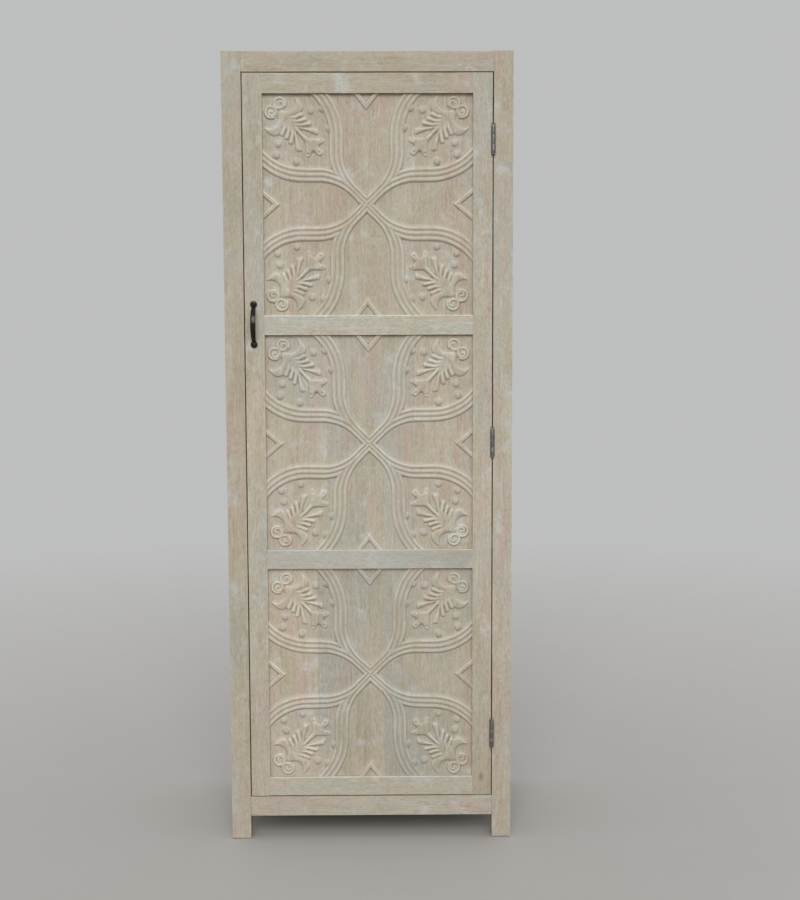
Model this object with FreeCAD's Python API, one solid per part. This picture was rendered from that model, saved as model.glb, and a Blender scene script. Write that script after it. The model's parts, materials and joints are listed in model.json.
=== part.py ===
import FreeCAD, Part
import math
import os

Vec = FreeCAD.Vector
X_DIR = Vec(1, 0, 0)
Y_DIR = Vec(0, 1, 0)
Z_DIR = Vec(0, 0, 1)
DIAGONAL = Vec(1, 0, -1)

# Sizes are in millimetres. While it is modelled, the cabinet's front face lies at y = 0,
# x runs to the viewer's right, y to the back and z up from the floor.

# Carcass
HEIGHT = 1800.0
WIDTH = 650.0
DEPTH = 400.0
POST = 44.0             # square corner posts, which run down to the floor as feet
POST_EASE = 1.5         # bevel along the posts' edges
FOOT_EASE = 4.0         # bevel round the foot of each post
FOOT_CLEAR = 55.0       # floor to the underside of the bottom rails
TOP_RAIL_H = 45.0
BOTTOM_RAIL_H = 46.0
RAIL_T = 30.0
RAIL_SETBACK = 6.0      # side and back rails stand in from the posts' outer faces
PANEL_INSET = 12.0      # outer face of a side or back rail to the middle of its panel
SIDE_T = 12.0
BACK_T = 9.0
DECK_T = 18.0           # top and bottom boards
DECK_RABBET = 8.0       # ledge cut in the rails, on which those boards lie

# Joinery
TENON_L = 20.0
TENON_T = 10.0
SHOULDER_LAND = 1.5     # wood between a panel groove and the tenon beside it
JOINT_CLEAR = 0.2       # round a tenon in its mortise
GROOVE = 9.0            # depth of the carcass panels' grooves
PANEL_FIT = 0.1         # play on each face of a panel in its groove
PANEL_SPARE = 0.5       # room at a panel's edges, where the wood may swell
BOARD_CLEAR = 0.5       # round the edges of boards and shelves

# Shelves
SHELF_COUNT = 4
SHELF_T = 18.0
SHELF_FRONT = 60.0      # front face of the cabinet to a shelf's front edge
CLEAT_W = 18.0
CLEAT_H = 24.0

# Door
DOOR_GAP = 2.0
DOOR_T = 28.0
STILE_W = 44.0
DOOR_RAIL_H = 45.0
DOOR_TENON_L = 25.0
DOOR_GROOVE = 10.0
PANEL_RECESS = 13.0     # door's face to the flat field of a carved panel
FIELD_T = 10.0          # panel thickness under the carving
STOP_W = 14.0
STOP_GAP = 0.6          # closed door to its stop

# Hinges, on the right
HINGE_H = 62.0
HINGE_FROM_FOOT = 147.0  # door's bottom edge to the middle of the lowest hinge
HINGE_FROM_HEAD = 146.0  # door's top edge to the middle of the highest hinge
KNUCKLES = 3
KNUCKLE_CLEAR = 0.2
BARREL_R = 4.5
BARREL_CLEAR = 0.3      # barrel to the other leaf and to the wood
AXIS_PROUD = 2.0        # pin's axis in front of the door's face
PIN_R = 2.3
PIN_CLEAR = 0.05
LEAF_T = 1.6
LEAF_REACH = 24.0       # door's face to the hidden edge of a leaf
LEAF_GAP = 0.6          # between the closed leaves
LEAF_CLEAR = 0.3        # round a leaf in its recess
NOTCH_ABOVE = 4.5       # barrel's notch in the wood runs past the barrel
NOTCH_BELOW = 10.0

# Bow handle, on the left
HANDLE_RISE = 1094.5    # door's bottom edge to the middle of the handle
HANDLE_INSET = 20.0     # door's left edge to the middle of the handle
HANDLE_CENTRES = 90.0   # between the middles of the two round ends
HANDLE_REACH = 27.0     # how far the bow stands out from the door
BOW_W = 10.5
BOW_T = 5.0
BOW_BEVEL = 1.4
BOW_END_W = 7.5
BOW_STEPS = 10          # hammered flats along the bow
BOW_FOOT = 5.5          # middle of a round end to the foot of the bow
PAD_R = 7.8
PAD_T = 3.2

# Magnetic catch, behind the latch stile
CATCH_W = 14.0
CATCH_D = 22.0
CATCH_H = 26.0
CATCH_EAR = 11.0
CATCH_EAR_T = 4.0
CATCH_WALL = 2.5
CATCH_GAP = 0.4
MAGNET_D = 15.0
MAGNET_FIT = 0.1
STRIKE_W = 12.0
STRIKE_H = 36.0
STRIKE_T = 1.6

# Carving on the door panels, from the middle of a panel
EDGE_LAND = 0.4         # carving stops this far short of the frame
CARVING_SINK = 1.0      # carved pieces run this far into the panel
PETAL_TIP = 18.0        # centre to the tips of the four petals
PETAL_HALF_V = 51.0     # half the upright petals' width where their sides run straight
PETAL_SWELL_V = 114.0   # centre to where their sides run straight
FLARE_RUN_V = 95.0      # length of the flare at the panel's edge
FLARE_SPREAD_V = 33.0
PETAL_HALF_H = 48.5     # the same for the level petals
PETAL_SWELL_H = 105.0
FLARE_RUN_H = 90.0
FLARE_SPREAD_H = 34.0
BEAD_W = 11.0           # outer ridges of the three-ridged band
RIB_W = 11.0            # its middle ridge
BEAD_RISE = 4.4
RIB_RISE = 4.8
VALLEY_RISE = 2.4       # bottom of the grooves between the ridges
ARC_STEPS = 5           # flats that make up each curve of a ridge, as cut with a chisel
CHEVRON_HALF_V = 26.0
CHEVRON_DEPTH_V = 35.0
CHEVRON_HALF_H = 32.0
CHEVRON_DEPTH_H = 41.0
CHEVRON_BAND = 11.0
CHEVRON_RISE = 3.6

# Corner palmettes, from a panel's corner: along the rail, then up the stile
LEAF_RISE = 4.0
BOSS_SIDES = 8
VOLUTE_AT = (20.5, 40.5)
VOLUTE_R = 14.0
HORN = ((7.5, 80.0), (18.0, 93.0), (33.0, 92.0), (46.0, 62.0), (36.0, 47.0), (33.0, 70.0))
HORN_CREST = (35.0, 78.0)
FROND_FEET = ((53.0, 66.0), (60.0, 75.0), (68.0, 86.0))
FROND_TIPS = ((48.0, 98.0), (63.0, 116.0), (83.0, 132.0))
FROND_HALF = (4.2, 4.8, 6.5)
CREST_PLACE = 0.68      # crest of a frond along its length
FLOWER = ((66.0, 66.0), (99.0, 107.0), (101.0, 142.0), (113.0, 130.0), (129.0, 138.0), (122.0, 120.0),
          (136.0, 107.0), (106.0, 99.0))
FLOWER_CREST = (113.0, 115.0)
DOTS = ((74.0, 151.0), (32.5, 135.0), (36.0, 110.5))
DOT_R = 7.0
DOT_RISE = 3.5

# Places worked out from the sizes
FRONT_Y = (HANDLE_REACH - DEPTH) / 2      # moves the whole so that its box is centred
X_POST = WIDTH / 2 - POST
X_RAIL_OUT = WIDTH / 2 - RAIL_SETBACK
X_RAIL_IN = X_RAIL_OUT - RAIL_T
X_PANEL = X_RAIL_OUT - PANEL_INSET
X_PANEL_IN = X_PANEL - SIDE_T / 2
Y_POST_BACK = DEPTH - POST
Y_BACK_OUT = DEPTH - RAIL_SETBACK
Y_BACK_IN = Y_BACK_OUT - RAIL_T
Y_BACK_PANEL = Y_BACK_OUT - PANEL_INSET
Z_FLOOR = FOOT_CLEAR + BOTTOM_RAIL_H
Z_HEAD = HEIGHT - TOP_RAIL_H
RAIL_SPANS = {"top": (Z_HEAD, HEIGHT), "bottom": (FOOT_CLEAR, Z_FLOOR)}
SIDES = {"left": -1, "right": 1}

X_DOOR = X_POST - DOOR_GAP
X_STILE = X_DOOR - STILE_W
Z_DOOR = Z_FLOOR + DOOR_GAP
Z_DOOR_TOP = Z_HEAD - DOOR_GAP
DOOR_RAILS = ("door_bottom_rail", "door_lower_mid_rail", "door_upper_mid_rail", "door_top_rail")
DOOR_PANELS = ("door_bottom_panel", "door_middle_panel", "door_top_panel")
PANEL_H = (Z_DOOR_TOP - Z_DOOR - DOOR_RAIL_H * len(DOOR_RAILS)) / len(DOOR_PANELS)
PANEL_PITCH = PANEL_H + DOOR_RAIL_H
PANEL_FOOTS = [Z_DOOR + DOOR_RAIL_H + i * PANEL_PITCH for i in range(len(DOOR_PANELS))]

X_AXIS = X_POST - DOOR_GAP / 2
HINGE_LOW = Z_DOOR + HINGE_FROM_FOOT
HINGE_HIGH = Z_DOOR_TOP - HINGE_FROM_HEAD
HINGE_MIDS = (HINGE_LOW, (HINGE_LOW + HINGE_HIGH) / 2, HINGE_HIGH)

X_HANDLE = HANDLE_INSET - X_DOOR
Z_HANDLE = Z_DOOR + HANDLE_RISE
X_STOP = STOP_W - X_POST
Z_CATCH = PANEL_FOOTS[1] + PANEL_H / 2
Y_CATCH = DOOR_T + STRIKE_T + CATCH_GAP


def box(x0, x1, y0, y1, z0, z1):
    """Block between two corners."""
    return Part.makeBox(x1 - x0, y1 - y0, z1 - z0, Vec(x0, y0, z0))


def mirrored_box(side, x0, x1, y0, y1, z0, z1):
    """Block on the right for side 1, or its mirror image on the left for side -1."""
    near, far = sorted((side * x0, side * x1))
    return box(near, far, y0, y1, z0, z1)


def cut_all(shape, tools):
    """Shape with every tool taken out of it."""
    return shape.cut(Part.makeCompound(tools))


def save(name, shape):
    """Move a finished piece into the part's frame and write it."""
    piece = shape.removeSplitter()
    piece.translate(Vec(0, FRONT_Y, 0))
    piece.exportStep("parts/" + name + ".step")
    print(name, "solids", len(piece.Solids), "valid", piece.isValid())


# Carcass

def tenon_across(z0, z1, y_mid, grow=0.0):
    """Tenon bar of a front or back rail; grow makes the mortises."""
    reach = X_POST + TENON_L + grow
    half = TENON_T / 2 + grow
    inset = GROOVE + SHOULDER_LAND - grow
    return box(-reach, reach, y_mid - half, y_mid + half, z0 + inset, z1 - inset)


def tenon_along(z0, z1, side, grow=0.0):
    """Tenon bar of a side rail; grow makes the mortises."""
    reach = TENON_L + grow
    half = TENON_T / 2 + grow
    inset = GROOVE + SHOULDER_LAND - grow
    return mirrored_box(side, X_PANEL - half, X_PANEL + half, POST - reach, Y_POST_BACK + reach,
                        z0 + inset, z1 - inset)


def side_panel(side, spare=0.0, play=0.0):
    """Side panel; spare shortens its free edges, and play widens it into its groove."""
    half = SIDE_T / 2 + play
    run = GROOVE - spare
    return mirrored_box(side, X_PANEL - half, X_PANEL + half, POST - run, Y_POST_BACK + run,
                        Z_FLOOR - GROOVE, Z_HEAD + run)


def back_panel(spare=0.0, play=0.0):
    """Back panel, made as the side panels are."""
    half = BACK_T / 2 + play
    reach = X_POST + GROOVE - spare
    return box(-reach, reach, Y_BACK_PANEL - half, Y_BACK_PANEL + half,
               Z_FLOOR - GROOVE, Z_HEAD + GROOVE - spare)


def deck(z_top, clear=0.0):
    """Top or bottom board before it is notched round the posts; clear shrinks its edges."""
    reach = X_RAIL_IN + DECK_RABBET - clear
    front = RAIL_T - DECK_RABBET + clear
    back = Y_BACK_IN + DECK_RABBET - clear
    return box(-reach, reach, front, back, z_top - DECK_T, z_top)


def post(side, at_back):
    """Corner post with eased edges, mortises and panel grooves."""
    y0 = Y_POST_BACK if at_back else 0.0
    blank = mirrored_box(side, X_POST, WIDTH / 2, y0, y0 + POST, 0, HEIGHT)
    under = [edge for edge in blank.Edges if edge.BoundBox.ZMax < 1e-6]
    blank = blank.makeChamfer(FOOT_EASE, under)
    upright = [edge for edge in blank.Edges if edge.BoundBox.ZLength > HEIGHT / 2]
    blank = blank.makeChamfer(POST_EASE, upright)
    tools = [side_panel(side, play=PANEL_FIT)]
    y_tenon = Y_BACK_PANEL if at_back else RAIL_T / 2
    for z0, z1 in RAIL_SPANS.values():
        tools.append(tenon_across(z0, z1, y_tenon, JOINT_CLEAR))
        tools.append(tenon_along(z0, z1, side, JOINT_CLEAR))
    if at_back:
        tools.append(back_panel(play=PANEL_FIT))
    return cut_all(blank, tools)


def carcass_posts():
    """Four corner posts; the front right one is recessed for the hinges."""
    pieces = {}
    for side_name, side in SIDES.items():
        pieces["front_%s_post" % side_name] = post(side, False)
        pieces["back_%s_post" % side_name] = post(side, True)
    recesses = [leaf_recess(z_mid, 1) for z_mid in HINGE_MIDS]
    pieces["front_right_post"] = cut_all(pieces["front_right_post"], recesses)
    return pieces


def carcass_rails():
    """Top and bottom rails of all four sides."""
    pieces = {}
    for level, (z0, z1) in RAIL_SPANS.items():
        ledge = deck(z1)
        front = box(-X_POST, X_POST, 0, RAIL_T, z0, z1)
        pieces["front_%s_rail" % level] = front.fuse(tenon_across(z0, z1, RAIL_T / 2)).cut(ledge)
        back = box(-X_POST, X_POST, Y_BACK_IN, Y_BACK_OUT, z0, z1)
        back = back.fuse(tenon_across(z0, z1, Y_BACK_PANEL))
        pieces["back_%s_rail" % level] = cut_all(back, [ledge, back_panel(play=PANEL_FIT)])
        for side_name, side in SIDES.items():
            rail = mirrored_box(side, X_RAIL_IN, X_RAIL_OUT, POST, Y_POST_BACK, z0, z1)
            rail = rail.fuse(tenon_along(z0, z1, side))
            groove = side_panel(side, play=PANEL_FIT)
            pieces["%s_%s_rail" % (side_name, level)] = cut_all(rail, [ledge, groove])
    return pieces


def carcass_boards():
    """Side and back panels, and the top and bottom boards notched round the posts."""
    pieces = {"back_panel": back_panel(PANEL_SPARE)}
    notches = []
    for side_name, side in SIDES.items():
        pieces["%s_side_panel" % side_name] = side_panel(side, PANEL_SPARE)
        for y0, y1 in ((0, POST + BOARD_CLEAR), (Y_POST_BACK - BOARD_CLEAR, DEPTH)):
            notches.append(mirrored_box(side, X_POST - BOARD_CLEAR, WIDTH / 2, y0, y1, 0, HEIGHT))
    pieces["top_board"] = cut_all(deck(HEIGHT, BOARD_CLEAR), notches)
    pieces["bottom_board"] = cut_all(deck(Z_FLOOR, BOARD_CLEAR), notches)
    return pieces


# Shelves

def shelf_undersides():
    """Heights that share the inside evenly."""
    inside = HEIGHT - DECK_T - Z_FLOOR
    pitch = (inside + SHELF_T) / (SHELF_COUNT + 1)
    return [Z_FLOOR + (i + 1) * pitch - SHELF_T for i in range(SHELF_COUNT)]


def shelves():
    """Shelves notched round the back posts, with the cleats they lie on."""
    pieces = {}
    wide = X_PANEL_IN - BOARD_CLEAR
    narrow = X_POST - BOARD_CLEAR
    neck = Y_POST_BACK - BOARD_CLEAR
    rear = Y_BACK_PANEL - BACK_T / 2 - BOARD_CLEAR
    for i, z in enumerate(shelf_undersides()):
        main = box(-wide, wide, SHELF_FRONT, neck, z, z + SHELF_T)
        tongue = box(-narrow, narrow, neck, rear, z, z + SHELF_T)
        pieces["shelf_%d" % (i + 1)] = main.fuse(tongue)
    for side_name, side in SIDES.items():
        cleats = []
        for z in shelf_undersides():
            cleats.append(mirrored_box(side, X_PANEL_IN - CLEAT_W, X_PANEL_IN, POST + BOARD_CLEAR, neck,
                                       z - CLEAT_H, z))
        pieces["%s_shelf_cleats" % side_name] = Part.makeCompound(cleats)
    return pieces


# Door frame

def panel_groove(z_foot):
    """Room for one carved panel's edges in the stiles and rails."""
    reach = X_STILE + DOOR_GROOVE
    return box(-reach, reach, PANEL_RECESS - PANEL_FIT, PANEL_RECESS + FIELD_T + PANEL_FIT,
               z_foot - DOOR_GROOVE, z_foot + PANEL_H + DOOR_GROOVE)


def door_tenon(z0, grow=0.0):
    """Tenon bar of a door rail; grow makes the mortises."""
    reach = X_STILE + DOOR_TENON_L + grow
    inset = DOOR_GROOVE + SHOULDER_LAND - grow
    return box(-reach, reach, PANEL_RECESS - grow, PANEL_RECESS + FIELD_T + grow,
               z0 + inset, z0 + DOOR_RAIL_H - inset)


def door_frame():
    """Stiles with their mortises, grooves and fittings' holes, and the four rails."""
    grooves = [panel_groove(z_foot) for z_foot in PANEL_FOOTS]
    rail_feet = [Z_DOOR + i * PANEL_PITCH for i in range(len(DOOR_RAILS))]
    mortises = [door_tenon(z0, JOINT_CLEAR) for z0 in rail_feet]
    latch = box(-X_DOOR, -X_STILE, 0, DOOR_T, Z_DOOR, Z_DOOR_TOP)
    latch = cut_all(latch, grooves + mortises)
    recesses = [leaf_recess(z_mid, -1) for z_mid in HINGE_MIDS]
    hung = box(X_STILE, X_DOOR, 0, DOOR_T, Z_DOOR, Z_DOOR_TOP)
    hung = cut_all(hung, grooves + mortises + recesses)
    pieces = {"door_latch_stile": latch, "door_hinge_stile": hung}
    for name, z0 in zip(DOOR_RAILS, rail_feet):
        rail = box(-X_STILE, X_STILE, 0, DOOR_T, z0, z0 + DOOR_RAIL_H)
        pieces[name] = cut_all(rail.fuse(door_tenon(z0)), grooves)
    return pieces


def door_stop():
    """Batten on the left post that the closed door rests against."""
    return box(-X_POST, X_STOP, DOOR_T + STOP_GAP, POST, Z_FLOOR, Z_HEAD)


# Carving

def at(u, v, rise=0.0):
    """Point over a panel's field, from its middle."""
    return Vec(u, -rise, v)


def flat(points, rise=0.0):
    """Flat face with straight sides over the field."""
    corners = [at(u, v, rise) for u, v in points]
    return Part.Face(Part.makePolygon(corners + corners[:1]))


def slab(points, rise):
    """Carved piece with upright sides, let into the field."""
    return flat(points, -CARVING_SINK).extrude(Y_DIR * -(CARVING_SINK + rise))


def peak(points, crest, rise):
    """Carved piece that rises from its outline to one crest, let into the field."""
    top = at(*crest, rise)
    faces = [flat(points, -CARVING_SINK)]
    for i, (u, v) in enumerate(points):
        last = points[i - 1]
        foot = [at(*last, -CARVING_SINK), at(u, v, -CARVING_SINK), at(u, v), at(*last)]
        faces.append(Part.Face(Part.makePolygon(foot + foot[:1])))
        slope = [at(*last), at(u, v), top]
        faces.append(Part.Face(Part.makePolygon(slope + slope[:1])))
    solid = Part.Solid(Part.Shell(faces))
    solid.fixTolerance(1e-6)
    if solid.Volume < 0:
        solid.reverse()
    return solid


def frond(foot, tip, half):
    """Kite-shaped leaf with a keel from its foot to its tip."""
    way = Vec(tip[0] - foot[0], 0, tip[1] - foot[1])
    crest = at(*foot) + way * CREST_PLACE
    across = Vec(way.z, 0, -way.x).normalize() * half
    left = crest - across
    right = crest + across
    return peak((foot, (right.x, right.z), tip, (left.x, left.z)), (crest.x, crest.z), LEAF_RISE)


def boss(centre, radius, rise):
    """Many-sided pointed boss."""
    turn = 2 * math.pi / BOSS_SIDES
    ring = []
    for i in range(BOSS_SIDES):
        ring.append((centre[0] + radius * math.cos(i * turn), centre[1] + radius * math.sin(i * turn)))
    return peak(ring, centre, rise)


def band_section(edge, outward):
    """Outline across the three ridges, from a point on a petal's edge outward."""
    width = 2 * BEAD_W + RIB_W
    profile = ((0, -CARVING_SINK), (0, 0), (BEAD_W / 2, BEAD_RISE), (BEAD_W, VALLEY_RISE),
               (width / 2, RIB_RISE), (width - BEAD_W, VALLEY_RISE), (width - BEAD_W / 2, BEAD_RISE),
               (width, 0), (width, -CARVING_SINK))
    corners = [edge + outward * across - Y_DIR * rise for across, rise in profile]
    return Part.makePolygon(corners + corners[:1])


def band(half, swell, flare_run, flare_spread, edge, wedge):
    """Three ridges beside a petal, kept to the wedge between its axis and the diagonal.

    They leave the centre at 45 degrees, swell on an arc, run straight and flare on a second
    arc to the panel's edge.
    """
    near_r = (swell - PETAL_TIP - half) / (math.sqrt(2) - 1)
    flare_r = (flare_run ** 2 + flare_spread ** 2) / (2 * flare_spread)
    near_hub = at(half - near_r, swell)
    flare_hub = at(half + flare_r, edge - flare_run)
    inmost_r = flare_r - 2 * BEAD_W - RIB_W
    sweep = math.asin((flare_run + CARVING_SINK) / inmost_r)
    outward = at(math.sqrt(0.5), -math.sqrt(0.5))
    sections = [band_section(at(-PETAL_TIP, 0), outward)]
    for i in range(ARC_STEPS + 1):
        angle = math.pi / 4 * (i / ARC_STEPS - 1)
        outward = at(math.cos(angle), math.sin(angle))
        sections.append(band_section(near_hub + outward * near_r, outward))
    for i in range(ARC_STEPS + 1):
        angle = sweep * i / ARC_STEPS
        outward = at(math.cos(angle), -math.sin(angle))
        sections.append(band_section(flare_hub - outward * flare_r, outward))
    return Part.makeLoft(sections, True, True).common(wedge)


def palmette():
    """Pieces of a corner palmette, with the panel's corner at the middle of the field."""
    half = [boss(VOLUTE_AT, VOLUTE_R, LEAF_RISE), peak(HORN, HORN_CREST, LEAF_RISE)]
    for foot, tip, width in zip(FROND_FEET, FROND_TIPS, FROND_HALF):
        half.append(frond(foot, tip, width))
    for centre in DOTS:
        half.append(boss(centre, DOT_R, DOT_RISE))
    pieces = half + [piece.mirror(Vec(), DIAGONAL) for piece in half]
    return pieces + [peak(FLOWER, FLOWER_CREST, LEAF_RISE)]


def chevron(half, depth, edge):
    """Raised V at the middle of an edge that lies above the panel's middle."""
    slope = math.atan2(half, depth)
    inner_half = half - CHEVRON_BAND / math.cos(slope)
    inner_depth = depth - CHEVRON_BAND / math.sin(slope)
    outline = ((-half, edge), (0, edge - depth), (half, edge), (inner_half, edge), (0, edge - inner_depth),
               (-inner_half, edge))
    return slab(outline, CHEVRON_RISE)


def carving():
    """All the raised work of one panel, on a field at y = 0."""
    wide = X_STILE - EDGE_LAND
    tall = PANEL_H / 2 - EDGE_LAND
    square = min(wide, tall)
    upper = slab(((0, 0), (square, square), (wide, tall), (0, tall)), RIB_RISE + CARVING_SINK)
    lower = slab(((0, 0), (square, square), (tall, wide), (0, wide)), RIB_RISE + CARVING_SINK)
    upright = band(PETAL_HALF_V, PETAL_SWELL_V, FLARE_RUN_V, FLARE_SPREAD_V, PANEL_H / 2, upper)
    level = band(PETAL_HALF_H, PETAL_SWELL_H, FLARE_RUN_H, FLARE_SPREAD_H, X_STILE, lower)
    quarter = [upright, level.mirror(Vec(), DIAGONAL)]
    for piece in palmette():
        turned = piece.mirror(Vec(), X_DIR).mirror(Vec(), Z_DIR)
        turned.translate(Vec(X_STILE, 0, PANEL_H / 2))
        quarter.append(turned)
    half = quarter + [piece.mirror(Vec(), X_DIR) for piece in quarter]
    half.append(chevron(CHEVRON_HALF_V, CHEVRON_DEPTH_V, tall))
    whole = half + [piece.mirror(Vec(), Z_DIR) for piece in half]
    side = chevron(CHEVRON_HALF_H, CHEVRON_DEPTH_H, wide).mirror(Vec(), DIAGONAL)
    return whole + [side, side.mirror(Vec(), X_DIR)]


def door_panels():
    """Carved panels, alike, each standing in the groove of the rail below it."""
    reach = X_STILE + DOOR_GROOVE - PANEL_SPARE
    low = -PANEL_H / 2 - DOOR_GROOVE
    high = PANEL_H / 2 + DOOR_GROOVE - PANEL_SPARE
    carved = box(-reach, reach, 0, FIELD_T, low, high).multiFuse(carving())
    pieces = {}
    for name, z_foot in zip(DOOR_PANELS, PANEL_FOOTS):
        panel = carved.copy()
        panel.translate(Vec(0, PANEL_RECESS, z_foot + PANEL_H / 2))
        pieces[name] = panel
    return pieces


# Hinges

def leaf_span(side):
    """Where a leaf lies across the gap: side 1 is the post's leaf, side -1 the door's."""
    near = X_AXIS + side * LEAF_GAP / 2
    return near, near + side * LEAF_T


def leaf_recess(z_mid, side):
    """Recess for a leaf in the post or the door's edge, and the notch for the barrel."""
    x0, x1 = sorted(leaf_span(side))
    half = HINGE_H / 2
    recess = box(x0, x1, -AXIS_PROUD, LEAF_REACH + LEAF_CLEAR,
                 z_mid - half - LEAF_CLEAR, z_mid + half + LEAF_CLEAR)
    reach = BARREL_R + BARREL_CLEAR
    notch = box(X_AXIS - reach, X_AXIS + reach, -AXIS_PROUD, reach - AXIS_PROUD,
                z_mid - half - NOTCH_BELOW, z_mid + half + NOTCH_ABOVE)
    return recess.fuse(notch)


def hinge_leaf(z_mid, side):
    """Leaf with its share of the knuckles, and room for the other leaf's."""
    x0, x1 = sorted(leaf_span(side))
    foot = z_mid - HINGE_H / 2
    plate = box(x0, x1, -AXIS_PROUD, LEAF_REACH, foot, foot + HINGE_H)
    step = HINGE_H / KNUCKLES
    first = 0 if side > 0 else 1
    for i in range(KNUCKLES):
        base = Vec(X_AXIS, -AXIS_PROUD, foot + i * step)
        if i % 2 == first:
            base.z += KNUCKLE_CLEAR / 2
            plate = plate.fuse(Part.makeCylinder(BARREL_R, step - KNUCKLE_CLEAR, base))
        else:
            plate = plate.cut(Part.makeCylinder(BARREL_R + BARREL_CLEAR, step, base))
    return plate.cut(Part.makeCylinder(PIN_R + PIN_CLEAR, HINGE_H, Vec(X_AXIS, -AXIS_PROUD, foot)))


def hinges():
    """Three butt hinges."""
    pieces = {}
    for place, z_mid in zip(("lower", "middle", "upper"), HINGE_MIDS):
        pieces["%s_hinge_post_leaf" % place] = hinge_leaf(z_mid, 1)
        pieces["%s_hinge_door_leaf" % place] = hinge_leaf(z_mid, -1)
        foot = Vec(X_AXIS, -AXIS_PROUD, z_mid - HINGE_H / 2)
        pieces["%s_hinge_pin" % place] = Part.makeCylinder(PIN_R, HINGE_H, foot)
    return pieces


# Handle and catch

def bow_section(angle, hub, radius):
    """Bevelled outline across the bow at an angle from its middle, narrower to the ends."""
    ending = (1 - math.cos(angle)) / (1 - math.cos(math.asin((HANDLE_CENTRES / 2 - BOW_FOOT) / radius)))
    half_w = (BOW_W + (BOW_END_W - BOW_W) * ending) / 2
    half_t = BOW_T / 2
    flat_w = half_w - BOW_BEVEL
    flat_t = half_t - BOW_BEVEL
    outline = ((half_w, -flat_t), (half_w, flat_t), (flat_w, half_t), (-flat_w, half_t),
               (-half_w, flat_t), (-half_w, -flat_t), (-flat_w, -half_t), (flat_w, -half_t))
    outward = Vec(0, -math.cos(angle), math.sin(angle))
    corners = [hub + X_DIR * x + outward * (radius + out) for x, out in outline]
    return Part.makePolygon(corners + corners[:1])


def door_handle():
    """Bow pull: a flat bevelled bar, widest in its middle, between two round ends."""
    foot = HANDLE_CENTRES / 2 - BOW_FOOT
    rise = HANDLE_REACH - BOW_T / 2
    radius = (foot ** 2 + rise ** 2) / (2 * rise)
    hub = Vec(X_HANDLE, radius - rise, Z_HANDLE)
    turn = math.asin(foot / radius)
    sections = [bow_section(turn * (2 * i / BOW_STEPS - 1), hub, radius) for i in range(BOW_STEPS + 1)]
    behind = box(X_HANDLE - BOW_W, X_HANDLE + BOW_W, 0, BOW_T,
                 Z_HANDLE - HANDLE_CENTRES, Z_HANDLE + HANDLE_CENTRES)
    bow = Part.makeLoft(sections, True, True).cut(behind)
    ends = [Vec(X_HANDLE, 0, Z_HANDLE + way * HANDLE_CENTRES / 2) for way in (-1, 1)]
    return bow.multiFuse([Part.makeCylinder(PAD_R, PAD_T, end, -Y_DIR) for end in ends])


def magnet(play=0.0):
    """Magnet block; play makes its pocket in the catch."""
    half_w = CATCH_W / 2 - CATCH_WALL + play
    half_h = CATCH_H / 2 - CATCH_WALL + play
    mid = X_STOP + CATCH_W / 2
    return box(mid - half_w, mid + half_w, Y_CATCH, Y_CATCH + MAGNET_D, Z_CATCH - half_h, Z_CATCH + half_h)


def catch():
    """Magnetic catch on the stop, and its strike plate on the door."""
    block = box(X_STOP, X_STOP + CATCH_W, Y_CATCH, Y_CATCH + CATCH_D,
                Z_CATCH - CATCH_H / 2, Z_CATCH + CATCH_H / 2)
    tall = CATCH_H / 2 + CATCH_EAR
    ears = box(X_STOP, X_STOP + CATCH_EAR_T, Y_CATCH, Y_CATCH + CATCH_D, Z_CATCH - tall, Z_CATCH + tall)
    mid = X_STOP + CATCH_W / 2
    strike = box(mid - STRIKE_W / 2, mid + STRIKE_W / 2, DOOR_T, DOOR_T + STRIKE_T,
                 Z_CATCH - STRIKE_H / 2, Z_CATCH + STRIKE_H / 2)
    return {
        "catch_body": block.fuse(ears).cut(magnet(MAGNET_FIT)),
        "catch_magnet": magnet(),
        "strike_plate": strike,
    }


def main():
    """Build every piece and write it."""
    os.makedirs("parts", exist_ok=True)
    pieces = {"door_stop": door_stop(), "door_handle": door_handle()}
    groups = (carcass_posts, carcass_rails, carcass_boards, shelves, door_frame, door_panels, hinges, catch)
    for group in groups:
        pieces.update(group())
    for name, shape in pieces.items():
        save(name, shape)
    print("nodes", len(pieces))


main()
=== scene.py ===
import json
import logging
import math
from contextlib import contextmanager
from dataclasses import dataclass, field
from enum import Enum
from typing import Callable, Iterator, Sequence

import bmesh
import bpy
import numpy as np
from mathutils import Matrix, Vector


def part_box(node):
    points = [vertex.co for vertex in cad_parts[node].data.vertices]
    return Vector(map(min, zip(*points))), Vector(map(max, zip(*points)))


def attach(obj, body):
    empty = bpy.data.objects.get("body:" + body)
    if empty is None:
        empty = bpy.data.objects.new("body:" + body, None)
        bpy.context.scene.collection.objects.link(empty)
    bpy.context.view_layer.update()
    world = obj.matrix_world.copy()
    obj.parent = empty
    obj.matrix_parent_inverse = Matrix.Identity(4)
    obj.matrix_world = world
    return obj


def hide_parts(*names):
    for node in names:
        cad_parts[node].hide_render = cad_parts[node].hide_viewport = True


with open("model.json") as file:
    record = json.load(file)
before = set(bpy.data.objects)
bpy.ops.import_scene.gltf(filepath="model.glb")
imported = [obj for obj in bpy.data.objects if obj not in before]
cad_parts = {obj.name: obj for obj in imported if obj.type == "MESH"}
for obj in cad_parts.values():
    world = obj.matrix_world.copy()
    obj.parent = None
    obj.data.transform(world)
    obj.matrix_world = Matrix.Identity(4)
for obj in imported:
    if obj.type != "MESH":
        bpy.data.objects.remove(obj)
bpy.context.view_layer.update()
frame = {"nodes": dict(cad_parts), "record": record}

# A tall whitewashed cabinet with one door of three carved panels. Lengths are in metres,
# and in millimetres inside the carving, whose sizes end in _mm or say so.

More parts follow.
